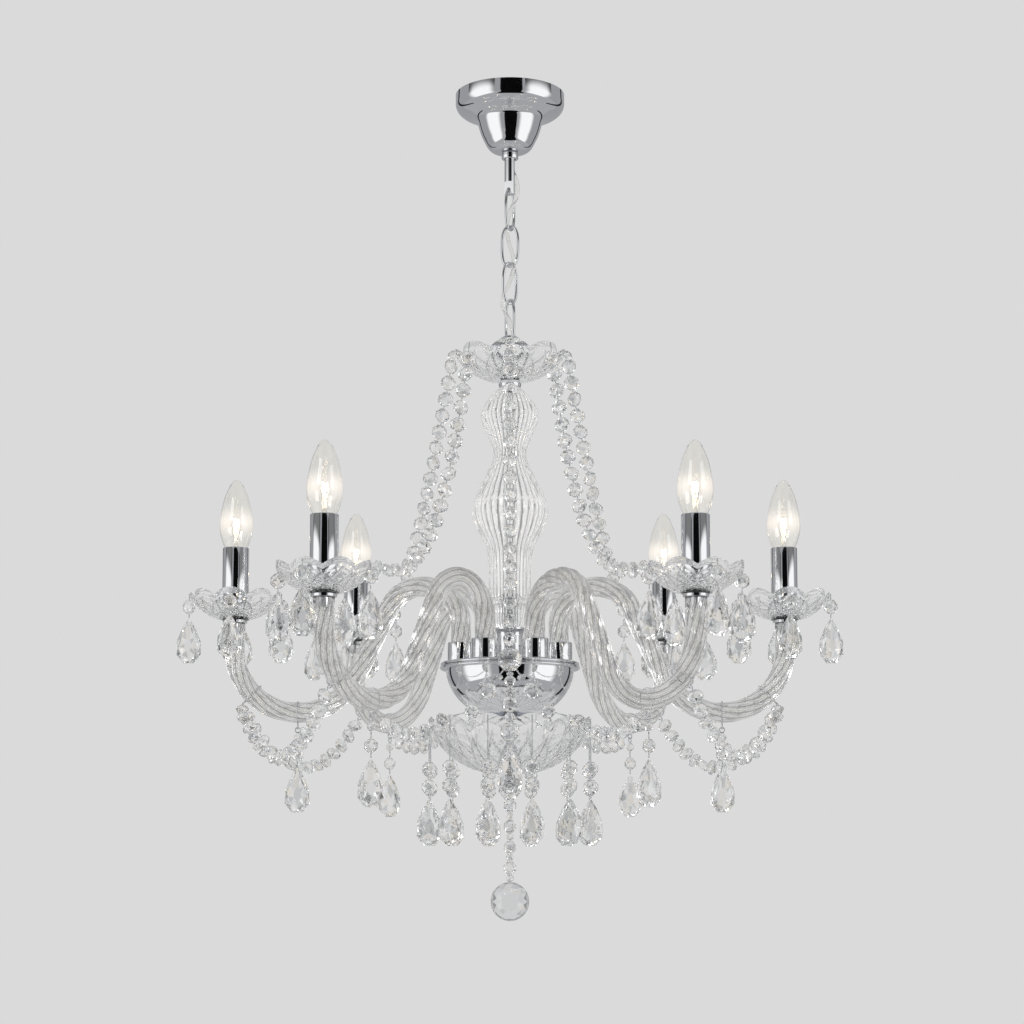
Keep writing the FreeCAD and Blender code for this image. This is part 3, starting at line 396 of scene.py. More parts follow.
def link_point(step):
    """Point on the centreline of a link, an oval with rounder ends than an ellipse."""
    turn = 2 * math.pi * step / LINK_STEPS
    across = math.copysign(abs(math.sin(turn)) ** LINK_ROUND, math.sin(turn))
    along = math.copysign(abs(math.cos(turn)) ** LINK_ROUND, math.cos(turn))
    return Vector((LINK_HALF * across, 0, LINK_LENGTH / 2 * (along - 1))) * MM


def link_mesh(bm):
    """Round wire, drawn once round an oval and joined to its own start."""
    section = bmesh.ops.create_circle(bm, segments=16, radius=LINK_WIRE * MM)["verts"]
    start = [vert.co.copy() for vert in section]
    loop = bm.edges[:]
    for step in range(LINK_STEPS):
        heading = (link_point(step + 1) - link_point(step - 1)).normalized()
        side = heading.cross(Vector((0, 1, 0)))
        if step:
            section, loop = next_ring(bm, loop)
        for vert, flat in zip(section, start):
            vert.co = link_point(step) + flat.x * side + Vector((0, flat.y, 0))
    bmesh.ops.bridge_loops(bm, edges=[edge for edge in bm.edges if edge.is_boundary])
    bmesh.ops.recalc_face_normals(bm, faces=bm.faces)


for index, (turn, top) in enumerate(zip(LINK_TURNS, LINK_TOPS)):
    bm = bmesh.new()
    link_mesh(bm)
    moved(bm, Matrix.Translation((0, 0, top * MM)) @ Matrix.Rotation(math.radians(turn), 4, "Z"))
    keep(bm, "oval_link_%d" % (index + 1), CHROME, "link_%d" % (index + 1), "chrome",
         ["chain_link_%d" % (index + 1)])


# Centre stack
COLLAR_HEIGHT = 7.5
BASE_FLUTES = 18
BASE_FLUTE_SHARE = 0.04
BASE_PLAIN_RADIUS = 14
BOWL_WALL = 1.2
SPACER_HEIGHT = 53.7


def top_collar():
    low, high = TOP_DISH - COLLAR_HEIGHT, TOP_DISH
    line = curved((ROD_BORE, low), (ROD_BORE, low), (9, low), (10.25, low), 3)
    line += curved((10.25, low), (12.3, low + 1.5), (12.3, high - 1.5), (10.25, high))
    turned_piece("top_collar_ring", [(ROD_BORE, low)] + line + [(ROD_BORE, high)], CHROME, FRAME, "chrome",
                 ["top_collar"])


def column_base():
    low, high = COLLAR_TOP, BASE_TOP
    line = [(ROD_BORE, low), (16, low)] + curved((16, low), (18, low + 2), (18.4, low + 8), (17, low + 14))
    line += curved((17, low + 14), (16.6, low + 20), (17, high - 6), (22, high - 3))
    bm = bmesh.new()
    spun(bm, line + [(22, high), (ROD_BORE, high)], 144)
    for vert in bm.verts:
        if math.hypot(vert.co.x, vert.co.y) / MM > BASE_PLAIN_RADIUS:
            wave = abs(math.sin(BASE_FLUTES * math.atan2(vert.co.y, vert.co.x)))
            vert.co.x *= 1 - BASE_FLUTE_SHARE * (1 - wave)
            vert.co.y *= 1 - BASE_FLUTE_SHARE * (1 - wave)
    keep(bm, "cut_column_base", DISH_GLASS, FRAME, "clear_glass", ["column_base"], sharp=25)


def lower_collar():
    low, high = PLATE_TOP, COLLAR_TOP
    line = [(ROD_BORE, low), (18, low), (18, low + 3)]
    line += curved((18, low + 3), (15, low + 4), (13, low + 7), (13, low + 11))
    line += curved((13, low + 11), (13, high - 8), (13, high - 5), (16, high - 2))
    turned_piece("hub_collar_ring", line + [(16, high), (ROD_BORE, high)], CHROME, FRAME, "chrome",
                 ["lower_collar"])


def hub_plate():
    low, high = BOWL_TOP, PLATE_TOP
    line = [(ROD_BORE, low), (68.75, low)]
    line += curved((68.75, low), (73.7, low), (73.7, high - 3.9), (69.8, high - 3.4), 12)
    line += curved((69.8, high - 3.4), (72.6, high - 3.2), (72.8, high), (68.75, high), 12)
    turned_piece("hub_disc", line + [(ROD_BORE, high)], CHROME, FRAME, "chrome", ["hub_plate"], steps=128)


def hub_bowl():
    low, high = SPACER_TOP, BOWL_TOP
    line = [(66, high)] + curved((66, high), (65.5, high - 22), (45, low + 2), (14, low), 28)
    inner = [(max(radius - BOWL_WALL, ROD_BORE), z + BOWL_WALL) for radius, z in reversed(line[1:])]
    line += [(ROD_BORE, low), (ROD_BORE, low + BOWL_WALL)] + inner + [(64.5, high)]
    turned_piece("hub_half_bowl", line, CHROME, FRAME, "chrome", ["hub_bowl"], steps=128)


def bowl_spacer():
    low, high = SPACER_TOP - SPACER_HEIGHT, SPACER_TOP
    line = [(ROD_BORE, low), (11, low)] + curved((11, low), (9, low + 1), (8, low + 3), (8, low + 6), 6)
    line += [(8, high - 16)] + curved((8, high - 16), (9, high - 8), (16, high - 5), (27, high - 3), 12)
    line += curved((27, high - 3), (28.4, high - 2.6), (28.4, high - 0.4), (27, high), 6)
    turned_piece("bowl_spacer_tube", line + [(ROD_BORE, high)], CHROME, FRAME, "chrome", ["bowl_spacer"])


top_collar()
column_base()
lower_collar()
hub_plate()
hub_bowl()
bowl_spacer()


def cup_mesh(bm):
    low = PLATE_TOP
    rim = [(WIRE_BORE, low), (13, low), (14, low + 1), (14, low + 20), (13.6, low + 20.8), (12.8, low + 21),
           (11.3, low + 21), (11, low + 20.6), (11, low + 3), (WIRE_BORE, low + 3)]
    spun(bm, rim, 64)


cup_places = [Matrix.Rotation(math.radians(angle), 4, "Z") @ Matrix.Translation((CUP_CIRCLE * MM, 0, 0))
              for angle in CUP_ANGLES]
keep(repeated(cup_mesh, cup_places), "arm_cup_set", CHROME, FRAME, "chrome", ["arm_cups"])


# Fluted column
COLUMN_PROFILE = ((0.0, 11.5), (0.042, 21.0), (0.095, 28.0), (0.15, 30.5), (0.245, 22.0), (0.325, 17.0),
                  (0.42, 25.0), (0.51, 35.0), (0.60, 40.0), (0.69, 34.0), (0.775, 24.5), (0.88, 22.3),
                  (1.0, 22.0))
COLUMN_FLUTES = 36
COLUMN_FLUTE_DEPTH = 1.5
COLUMN_FLUTE_FULL = 22
COLUMN_WALL = 4.0
COLUMN_CROWN = 6
FLUTE_STEPS = 8


def smooth_line(knots, per_span=6):
    """Points on a smooth line through knots."""
    points = [Vector((knot[0], knot[1], 0)) for knot in knots]
    slopes = []
    for index in range(len(points)):
        before, after = points[max(index - 1, 0)], points[min(index + 1, len(points) - 1)]
        slopes.append((after - before) / 6)
    line = [points[0]]
    for index in range(len(points) - 1):
        line += interpolate_bezier(points[index], points[index] + slopes[index],
                                   points[index + 1] - slopes[index + 1],
                                   points[index + 1], per_span + 1)[1:]
    return [(point.x, point.y) for point in line]


def column_piece():
    """Hollow glass below a solid crown, with flutes that are shallower at the waists."""
    outside = smooth_line([(radius, COLUMN_TOP - share * COLUMN_HEIGHT) for share, radius in COLUMN_PROFILE])
    inside = [(radius - COLUMN_WALL, z) for radius, z in outside if z < COLUMN_TOP - COLUMN_CROWN]
    profile = outside + list(reversed(inside)) + [(ROD_BORE, inside[0][1]), (ROD_BORE, COLUMN_TOP)]
    bm = bmesh.new()
    dark = bm.verts.layers.float.new("groove")
    spun(bm, profile, COLUMN_FLUTES * FLUTE_STEPS)
    outer_at = {round(z, 2): radius for radius, z in outside}
    for vert in bm.verts:
        radius = math.hypot(vert.co.x, vert.co.y) / MM
        outer = outer_at.get(round(vert.co.z / MM, 2))
        if outer and abs(radius - outer) < 0.05:
            wave = abs(math.sin(COLUMN_FLUTES / 2 * math.atan2(vert.co.y, vert.co.x)))
            depth = COLUMN_FLUTE_DEPTH * min(1, outer / COLUMN_FLUTE_FULL)
            shrink = (outer - depth * (1 - wave)) / outer
            # Painted shade: a dark value for the glass colour in the bottom of each flute.
            vert[dark] = (1 - wave) ** 3
            vert.co.x *= shrink
            vert.co.y *= shrink
    keep(bm, "fluted_column", COLUMN_GLASS, FRAME, "clear_glass", ["column"], sharp=30)


column_piece()


# Scalloped dishes with crossing grooves cut into their outsides
CUT_DEPTH = 1.7
RIM_STEPS = 30
OUTER_ROWS = 44
INNER_ROWS = 12
INSIDE_MARK = 900
DIAMOND_ROWS, DIAMOND_SLANT, DIAMOND_WIDTH = 2.3, 1.15, 0.12
RIB_ROWS, RIB_SLANT, RIB_WIDTH, RIB_DEPTH = 9.2, 0.8, 0.5, 0.45
LOBE_GROOVE_WIDTH = 0.06


def arc_height(low, middle, high):
    """Height of a circle's arc through three points of radius and height, at any radius."""
    (ax, ay), (bx, by), (cx, cy) = low, middle, high
    d = 2 * (ax * (by - cy) + bx * (cy - ay) + cx * (ay - by))
    a_far, b_far, c_far = ax * ax + ay * ay, bx * bx + by * by, cx * cx + cy * cy
    ux = (a_far * (by - cy) + b_far * (cy - ay) + c_far * (ay - by)) / d
    uy = (a_far * (cx - bx) + b_far * (ax - cx) + c_far * (bx - ax)) / d
    reach = math.hypot(ax - ux, ay - uy)
    side = -1 if by < uy else 1
    return lambda radius: uy + side * math.sqrt(max(reach ** 2 - (radius - ux) ** 2, 0))


def groove(place, width):
    """Depth of a line of grooves, one for each whole number, 0 to 1."""
    return max(0.0, 1 - abs((place + 0.5) % 1 - 0.5) / width)


def cross_cut(across, share):
    """Depth of the cutting, 0 to 1: diamonds, fine ribs in them and a groove between lobes."""
    rows, slant = DIAMOND_ROWS * share, DIAMOND_SLANT * across
    cross = max(groove(rows + slant, DIAMOND_WIDTH), groove(rows - slant, DIAMOND_WIDTH))
    fine = RIB_DEPTH * groove(RIB_ROWS * share + RIB_SLANT * abs(across), RIB_WIDTH)
    edge = groove(0.5 + across / 2, LOBE_GROOVE_WIDTH)
    return max(cross, fine, edge) * min(1.0, (1 - share) * 14) * min(1.0, share * 8)


def dish_mesh(bm, radius, depth, floor, lobes, turn, seat, floor_radius):
    """A pan with a lobed rim: its rows are spun as plain rings, then set on the arcs of its two faces."""
    wall = floor * 0.8
    outer = arc_height((seat, 0), (radius * 0.72, depth * 0.30), (radius + wall, depth))
    inner = arc_height((floor_radius, floor), (radius * 0.69, depth * 0.30 + wall), (radius, depth))
    notch = radius * (1 - math.sin(math.pi / lobes) * 0.22)
    profile = [(ROD_BORE, 0)] + [(seat + row, 0) for row in range(OUTER_ROWS + 1)]
    profile += [(seat + row, INSIDE_MARK) for row in range(INNER_ROWS, -1, -1)] + [(ROD_BORE, INSIDE_MARK)]
    dark = bm.verts.layers.float.new("groove")
    spun(bm, profile, lobes * RIM_STEPS)
    half = math.pi / lobes
    for vert in bm.verts:
        place = math.hypot(vert.co.x, vert.co.y) / MM
        angle = math.atan2(vert.co.y, vert.co.x)
        across = (((angle - math.radians(turn) + half) % (2 * half)) - half) / half
        rim = notch + (radius - notch) * (1 - across ** 2)
        top = vert.co.z > INSIDE_MARK / 2 * MM
        if place < seat - 0.01:
            vert.co.z = (floor if top else 0) * MM
            continue
        if top:
            share = (place - seat) / INNER_ROWS
            reach = floor_radius + (rim - floor_radius) * share
            height = inner(reach)
        else:
            share = (place - seat) / OUTER_ROWS
            reach = seat + (rim - seat) * share
            cut = cross_cut(across, share)
            # Painted shade: the cut's depth, cubed, darkens the glass colour in the grooves.
            vert[dark] = cut ** 3
            height = outer(reach) + CUT_DEPTH * cut
        vert.co = Vector((reach * math.cos(angle), reach * math.sin(angle), height)) * MM


def dish_piece(name, node, place, *shape):
    bm = bmesh.new()
    dish_mesh(bm, *shape)
    moved(bm, place)
    keep(bm, name, DISH_GLASS, FRAME, "clear_glass", [node], sharp=24)


dish_piece("cut_top_dish", "top_dish", Matrix.Translation((0, 0, TOP_DISH * MM)),
           57.5, 34.0, 4.5, 8, 0.0, 12.75, 11.0)
dish_piece("cut_bottom_dish", "bottom_dish", Matrix.Translation((0, 0, BOTTOM_DISH * MM)),
           84.0, 57.5, 4.5, 12, 15.0, 14.0, 12.0)
for index in range(ARM_COUNT):
    slope = math.sin(math.radians(2 * ARM_DIRECTIONS[index]))
    turn = 0.0 if abs(slope) < 1e-6 else -20.0 * math.copysign(1, slope)
    spot = candle_matrix(index) @ Vector((0, 0, BOBECHE_Z * MM))
    dish_piece("cut_bobeche_%d" % (index + 1), "bobeche_%d" % (index + 1), Matrix.Translation(spot),
               46.5, 30.0, 4.0, 8, turn, 12.5, 14.65)


# Rope-twist arms
ARM_RADIUS = 10.6
ARM_STRANDS = 10
ARM_GROOVE = 0.9
THREADS_PER_STRAND = 3
THREAD_GROOVE = 0.16
STRAND_POINTS = 18
BORE_POINTS = 16
ARM_TWISTS = 1.5
ARM_STEPS = 150
ARM_FADE = 12
MIDWAY = 0.05
ARCH_RADIUS, ARCH_RISE = 39.4, 37.0
BAY_RADIUS, BAY_DROP = 66.0, 25.5
ARM_RISE = 27.0
ARM_BASE = PLATE_TOP + 3
ARCH_Z = ARM_BASE + ARCH_RISE
BAY_Z = ARCH_Z - BAY_DROP
BAY_U = ARM_REACH - BAY_RADIUS
CENTRE_GAP = math.hypot(BAY_U - ARCH_RADIUS, BAY_DROP)
RUN_HEADING = -math.atan2(BAY_DROP, BAY_U - ARCH_RADIUS)
RUN_HEADING -= math.asin((ARCH_RADIUS + BAY_RADIUS) / CENTRE_GAP)
RUN_LENGTH = math.sqrt(CENTRE_GAP ** 2 - (ARCH_RADIUS + BAY_RADIUS) ** 2)
SWEEP = math.pi / 2 - RUN_HEADING
ARM_LENGTH = ARCH_RISE + SWEEP * (ARCH_RADIUS + BAY_RADIUS) + RUN_LENGTH + ARM_RISE


def arm_station(length):
    """Point and heading of an arm's centreline, in its own plane, at a length from its foot."""
    if length <= ARCH_RISE:
        return (0, ARM_BASE + length), math.pi / 2
    length -= ARCH_RISE
    if length <= SWEEP * ARCH_RADIUS:
        angle = math.pi - length / ARCH_RADIUS
        return (ARCH_RADIUS * (1 + math.cos(angle)),
                ARCH_Z + ARCH_RADIUS * math.sin(angle)), angle - math.pi / 2
    length -= SWEEP * ARCH_RADIUS
    normal = RUN_HEADING + math.pi / 2
    if length <= RUN_LENGTH:
        return (ARCH_RADIUS * (1 + math.cos(normal)) + length * math.cos(RUN_HEADING),
                ARCH_Z + ARCH_RADIUS * math.sin(normal) + length * math.sin(RUN_HEADING)), RUN_HEADING
    length -= RUN_LENGTH
    if length <= SWEEP * BAY_RADIUS:
        angle = normal - math.pi + length / BAY_RADIUS
        return (BAY_U + BAY_RADIUS * math.cos(angle),
                BAY_Z + BAY_RADIUS * math.sin(angle)), angle + math.pi / 2
    return (ARM_REACH, BAY_Z + length - SWEEP * BAY_RADIUS), math.pi / 2


def rope_mesh(bm):
    """A lobed section, drawn along the centreline and turned as it goes, and the bore for the wires."""
    dark = bm.verts.layers.float.new("groove")
    for radius, lobes, points in ((ARM_RADIUS, ARM_STRANDS, ARM_STRANDS * STRAND_POINTS),
                                  (WIRE_BORE, 0, BORE_POINTS)):
        section = bmesh.ops.create_circle(bm, segments=points, radius=radius * MM)["verts"]
        start = [vert.co.copy() for vert in section]
        loop = [edge for edge in bm.edges if all(vert in section for vert in edge.verts)]
        for step in range(ARM_STEPS + 1):
            length = ARM_LENGTH * step / ARM_STEPS
            (u, z), heading = arm_station(length)
            fade = min(1.0, length / ARM_FADE, (ARM_LENGTH - length) / ARM_FADE)
            turn = 2 * math.pi * ARM_TWISTS * step / ARM_STEPS
            if step:
                section, loop = next_ring(bm, loop)
            for vert, flat in zip(section, start):
                angle = math.atan2(flat.y, flat.x)
                reach = radius
                if lobes:
                    deep = 0.5 - 0.5 * math.cos(lobes * angle)
                    fine = 0.5 - 0.5 * math.cos(THREADS_PER_STRAND * lobes * angle)
                    reach -= fade * (ARM_GROOVE * deep + THREAD_GROOVE * fine)
                    # Painted shade: a dark value for the glass colour between the strands and threads.
                    vert[dark] = max(deep ** 4, 0.7 * fine ** 4)
                side, up = reach * math.cos(angle + turn), reach * math.sin(angle + turn)
                vert.co = Vector((u - up * math.sin(heading), side, z + up * math.cos(heading))) * MM
    rims = [edge for edge in bm.edges if edge.is_boundary]
    bmesh.ops.bridge_loops(bm, edges=[edge for edge in rims if edge.verts[0].co.x < MIDWAY])
    bmesh.ops.bridge_loops(bm, edges=[edge for edge in rims if edge.verts[0].co.x > MIDWAY])
    bmesh.ops.recalc_face_normals(bm, faces=bm.faces)


for index in range(ARM_COUNT):
    bm = bmesh.new()
    rope_mesh(bm)
    moved(bm, arm_matrix(index))
    keep(bm, "rope_arm_%d" % (index + 1), ARM_GLASS, FRAME, "clear_glass", ["arm_%d" % (index + 1)],
         sharp=50)


# Candles and bulbs
SLEEVE_HEIGHT = 71.5
BULB_RADIUS, BULB_HEIGHT, BULB_WALL = 17.5, 76.0, 0.9
# Painted glow on the bulb glass: its peak strength, the height of its peak and its spread.
PAINTED_GLOW_PEAK, PAINTED_GLOW_HEIGHT, PAINTED_GLOW_SPREAD = 0.07, 32, 10
CAP_THREADS, THREAD_PITCH = 6, 3.2
POST_WIRE, POST_LENGTH, POST_GAP, POST_HEIGHT, POST_LEAN = 0.25, 18, 3.4, 21, 0.28
COIL_RADIUS, COIL_WIRE, COIL_LOW, COIL_HEIGHT, COIL_TURNS = 2.4, 0.6, 26.5, 8.0, 5
COIL_STEPS = 16 * COIL_TURNS


def sleeve_mesh(bm):
    low, high = SLEEVE_Z, SLEEVE_Z + SLEEVE_HEIGHT
    spun(bm, [(12.65, low), (13.65, low), (13.65, high - 0.5), (13.35, high), (12.9, high),
              (12.65, high - 0.4)], 72)


keep(repeated(sleeve_mesh, [candle_matrix(index) for index in range(ARM_COUNT)]), "candle_sleeve_set",
     CHROME, FRAME, "chrome", ["candle_sleeves"])


def bulb_outline(wall):
    tall = BULB_HEIGHT - wall
    line = smooth_line([(9.0 - wall, 0), (14.3 - wall, 11), (BULB_RADIUS - wall, 27.4), (13.9 - wall, 52),
                        (8.3 - wall, 67), (3.6 - wall, tall - 1.6), (0.0, tall)], 8)
    return [(max(radius, 0), BULB_Z + z) for radius, z in line]


def spun_on_bulb(bm, profile, steps):
    """Turns a profile whose heights start at the foot of the bulb's glass."""
    spun(bm, [(radius, BULB_Z + z) for radius, z in profile], steps)


def glass_mesh(bm):
    """Thin blown glass, with the strength of its painted glow on its points, greatest at the coil's height.
    """
    spun(bm, bulb_outline(0.0) + list(reversed(bulb_outline(BULB_WALL))), 64)
    haze = bm.verts.layers.float.new("haze")
    for vert in bm.verts:
        vert[haze] = PAINTED_GLOW_PEAK * math.exp(-((vert.co.z / MM - BULB_Z - PAINTED_GLOW_HEIGHT) / PAINTED_GLOW_SPREAD) ** 2)


def cap_mesh(bm):
    """Screw cap with a contact at its foot."""
    cap = [(0, -27), (3, -27), (3, -24.5), (5.5, -24)]
    for thread in range(CAP_THREADS):
        z = -23 + THREAD_PITCH * thread
        cap += [(6.9, z), (6.9, z + 1), (6.3, z + 2), (6.3, z + 2.4)]
    spun_on_bulb(bm, cap + [(6.9, -2), (9, -2), (9, -0.05), (0, -0.05)], 48)


def stalk_mesh(bm):
    stalk = [(0, 0), (3.6, 0)] + curved((3.6, 0), (3.4, 6), (1.4, 7), (1.3, 14), 8)
    stalk += curved((1.3, 14), (1.3, 16), (2.2, 17), (1.6, 19), 6) + [(0, 20)]
    spun_on_bulb(bm, stalk, 24)


def posts_mesh(bm):
    for side in (-1, 1):
        place = Matrix.Translation((side * POST_GAP * MM, 0, (BULB_Z + POST_HEIGHT) * MM))
        bmesh.ops.create_cone(bm, cap_ends=True, segments=8, radius1=POST_WIRE * MM,
                              radius2=POST_WIRE * MM, depth=POST_LENGTH * MM,
                              matrix=place @ Matrix.Rotation(side * POST_LEAN, 4, "Y"))


def coil_mesh(bm):
    place = Matrix.Translation((COIL_RADIUS * MM, 0, (BULB_Z + COIL_LOW) * MM))
    section = bmesh.ops.create_circle(bm, segments=8, radius=COIL_WIRE * MM, cap_ends=True,
                                      matrix=place @ Matrix.Rotation(math.pi / 2, 4, "X"))["verts"]
    bmesh.ops.spin(bm, geom=section + bm.edges[:] + bm.faces[:], cent=(0, 0, 0), axis=(0, 0, 1),
                   dvec=(0, 0, COIL_HEIGHT * MM / COIL_STEPS), angle=2 * math.pi * COIL_TURNS,
                   steps=COIL_STEPS)
    bmesh.ops.recalc_face_normals(bm, faces=bm.faces)


BULB_PARTS = (("candle_bulb", glass_mesh, PAINTED_GLOW_BULB_GLASS, "bulb_glass", 60),
              ("bulb_cap", cap_mesh, BRASS, "brass", 38),
              ("bulb_stalk", stalk_mesh, BULB_GLASS, "bulb_glass", 38),
              ("filament_posts", posts_mesh, STEEL, "steel", 38),
              ("filament_coil", coil_mesh, FILAMENT, "bulb_glass", 38))
for index in range(ARM_COUNT):
    number = index + 1
    for name, make, finish, slot, sharp in BULB_PARTS:
        bm = bmesh.new()
        make(bm)
        moved(bm, candle_matrix(index))
        keep(bm, "%s_%d" % (name, number), finish, "bulb_body_%d" % number, slot, ["bulb_%d" % number],
             sharp=sharp)


# Hanger and finial: each a ring of round wire on a turned piece
def ring_piece(name, node, z, radius, wire):
    """An upright ring of round wire that faces the front."""
    quarter = Matrix.Rotation(math.pi / 2, 4, "X")
    bm = bmesh.new()
    bmesh.ops.create_circle(bm, segments=20, radius=wire * MM,
                            matrix=Matrix.Translation((radius * MM, 0, 0)) @ quarter)
    bmesh.ops.spin(bm, geom=bm.verts[:] + bm.edges[:], cent=(0, 0, 0), axis=(0, 0, 1), angle=2 * math.pi,
                   steps=48, use_merge=True)
    bmesh.ops.remove_doubles(bm, verts=bm.verts, dist=1e-7)
    bmesh.ops.recalc_face_normals(bm, faces=bm.faces)
    moved(bm, Matrix.Translation((0, 0, z * MM)) @ quarter)
    keep(bm, name, CHROME, FRAME, "chrome", [node])


ring_piece("hanger_ring", "hanger_loop", -274.3, 13.5, 2.0)
boss = [(0, -303.8), (9.6, -303.8), (10, -303.4), (10, -291)]
boss += curved((10, -291), (10, -289.6), (9.4, -288.8), (8, -288.8), 6)
turned_piece("hanger_boss", boss + [(0, -288.8)], CHROME, FRAME, "chrome", ["hanger_loop"])
ring_piece("finial_eye", "bottom_finial", -729.9, 2.6, 0.6)
finial = [(0, -727)] + curved((0, -727), (4.5, -727), (10, -724.5), (10, -719.8), 10)
turned_piece("finial_button", finial + [(9.6, -719), (0, -719)], CHROME, FRAME, "chrome", ["bottom_finial"])


# Crystal: cut stones where the CAD's beads, drops and ball are, on the CAD's own wire pins
TINTS = [linear(text) for text in ("#FFFFFF", "#FFFFFF", "#E9EBEC", "#FFFFFF", "#BFC2C4", "#FFFFFF",
                                   "#F4F1EC", "#FFFFFF", "#D5D8DA", "#FCF5EA")]
PIN_REACH, PIN_SHARE = 4.0, 1.4
PEAR_REACH, PEAR_SWING = 22, 0.45
BALL_REACH, BALL_RADIUS = 15, 20.0
STRAND_GROWTH = {"dish_strands": 1.2, "column_strands": 1.12, "hub_trim": 1.05, "arm_swags": 1.2,
                 "bobeche_drops": 1.1, "dish_drops": 1.15}
BEAD_RADIUS, BEAD_SIDES = 7.0, 8
BEAD_RINGS = ((0.34, -3.6, 0.0), (0.72, -2.5, 0.5), (1.0, -0.4, 0.0), (1.0, 0.4, 0.0), (0.72, 2.5, 0.5),
              (0.34, 3.6, 0.0))
PEAR_WIDTH, PEAR_HEIGHT, PEAR_MIDDLE, PEAR_SIDES = 27.0, 48.0, 0.6, 10
PEAR_RINGS = ((0.3, -5.5, 0.0), (0.68, -4.1, 0.5), (1.0, -0.5, 0.0), (1.0, 0.5, 0.0), (0.68, 4.1, 0.5),
              (0.3, 5.5, 0.0))
BALL_RINGS = (26.0, 45.0, 64.0, 82.0, 98.0, 116.0, 135.0, 154.0)
BALL_SIDES = 14
chance = random.Random(7)


def stone(bm, name):
    """Flat facets round the points of a bmesh."""
    bmesh.ops.convex_hull(bm, input=bm.verts)
    bmesh.ops.dissolve_limit(bm, angle_limit=math.radians(1.0), verts=bm.verts, edges=bm.edges)
    bmesh.ops.recalc_face_normals(bm, faces=bm.faces)
    mesh = bpy.data.meshes.new(name)
    bm.to_mesh(mesh)
    bm.free()
    return mesh


def facet_ring(bm, sides, radius, depth, turn):
    """Ring of points that faces the front at a depth, turned by a share of one side."""
    matrix = Matrix.Translation((0, depth * MM, 0)) @ Matrix.Rotation(math.pi / 2, 4, "X")
    matrix = matrix @ Matrix.Rotation(math.pi * (2 * turn + 1) / sides, 4, "Z")
    return bmesh.ops.create_circle(bm, segments=sides, radius=radius * MM, matrix=matrix)["verts"]


def bead_stone():
    bm = bmesh.new()
    for share, depth, turn in BEAD_RINGS:
        facet_ring(bm, BEAD_SIDES, BEAD_RADIUS * share, depth, turn)
    return stone(bm, "bead")


def pear_stone():
    """Hangs from its tip at the origin."""
    bm = bmesh.new()
    for share, depth, turn in PEAR_RINGS:
        for vert in facet_ring(bm, PEAR_SIDES, 1.0, depth, turn):
            angle = math.atan2(vert.co.x, vert.co.z)
            wide = math.sin(angle) * math.sin(abs(angle) / 2) / 0.77
            drop = -0.5 + 0.5 * math.cos(angle)
            vert.co.x = PEAR_WIDTH / 2 * wide * share * MM
            vert.co.z = PEAR_HEIGHT * ((drop + PEAR_MIDDLE) * share - PEAR_MIDDLE) * MM
    return stone(bm, "pear")


def ball_stone():
    bm = bmesh.new()
    for index, degrees in enumerate(BALL_RINGS):
        angle = math.radians(degrees)
        facet_ring(bm, BALL_SIDES, BALL_RADIUS * math.sin(angle), -BALL_RADIUS * math.cos(angle),
                   0.5 * (index % 2))
    return stone(bm, "ball")


BEAD, PEAR, BALL = bead_stone(), pear_stone(), ball_stone()


def islands(bm):
    """Groups of faces that hang together."""
    unseen = set(bm.faces)
    while unseen:
        island = {unseen.pop()}
        waiting = list(island)
        while waiting:
            for edge in waiting.pop().edges:
                for near in edge.link_faces:
                    if near in unseen:
                        unseen.discard(near)
                        island.add(near)
                        waiting.append(near)
        yield island


def bead_place(centre, scale, pins):
    """Across its strand, which runs to the nearest pin, and turned towards the front."""
    along = (min(pins, key=lambda pin: (pin - centre).length) - centre).normalized()
    front = Vector((chance.uniform(-0.5, 0.5), -1, chance.uniform(-0.2, 0.2)))
    normal = front - along * front.dot(along)
    if normal.length < 0.4:
        normal = along.orthogonal()
    normal.normalize()
    turn = Matrix((along.cross(normal), -normal, along)).transposed().to_4x4()
    return Matrix.Translation(centre) @ turn @ Matrix.Scale(scale, 4)


def crystal_piece(node, body, growth=1.0):
    """Sorts a node's islands into pins, which stay, and stones, which cut stones of their size stand for."""
    bm = bmesh.new()
    bm.from_mesh(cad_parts[node].data)
    bmesh.ops.remove_doubles(bm, verts=bm.verts, dist=1e-6)
    pins, stones, cad_stones = [], [], []
    for island in islands(bm):
        points = {vert for face in island for vert in face.verts}
        low = Vector([min(vert.co[axis] for vert in points) for axis in range(3)])
        high = Vector([max(vert.co[axis] for vert in points) for axis in range(3)])
        centre = (low + high) / 2
        reach = max((vert.co - centre).length for vert in points)
        slender = sum(face.calc_area() for face in island) < PIN_SHARE * reach ** 2
        if slender or reach < PIN_REACH * MM:
            pins.append(centre)
            for face in island:
                face.material_index = 1
                face.smooth = True
        else:
            stones.append((tuple(centre), reach, high.z))
            cad_stones += island
    bmesh.ops.delete(bm, geom=cad_stones, context="FACES")
    for spot, reach, top in sorted(stones):
        centre = Vector(spot)
        if reach > PEAR_REACH * MM:
            shape = PEAR.copy()
            shape.transform(Matrix.Translation((centre.x, centre.y, top))
                            @ Matrix.Rotation(chance.uniform(-PEAR_SWING, PEAR_SWING), 4, "Z"))
        elif reach > BALL_REACH * MM:
            shape = BALL.copy()
            shape.transform(Matrix.Translation(centre))
        else:
            shape = BEAD.copy()
            shape.transform(bead_place(centre, growth * reach / (BEAD_RADIUS * MM), pins))
        bm.from_mesh(shape)
        bpy.data.meshes.remove(shape)
    tint = bm.loops.layers.float_color.new("facet_tint")
    for face in bm.faces:
        colour = chance.choice(TINTS)
        for loop in face.loops:
            loop[tint] = colour
    keep(bm, "cut_" + node, CRYSTAL, body, "crystal", [node], smooth=False, materials=(CHROME,))


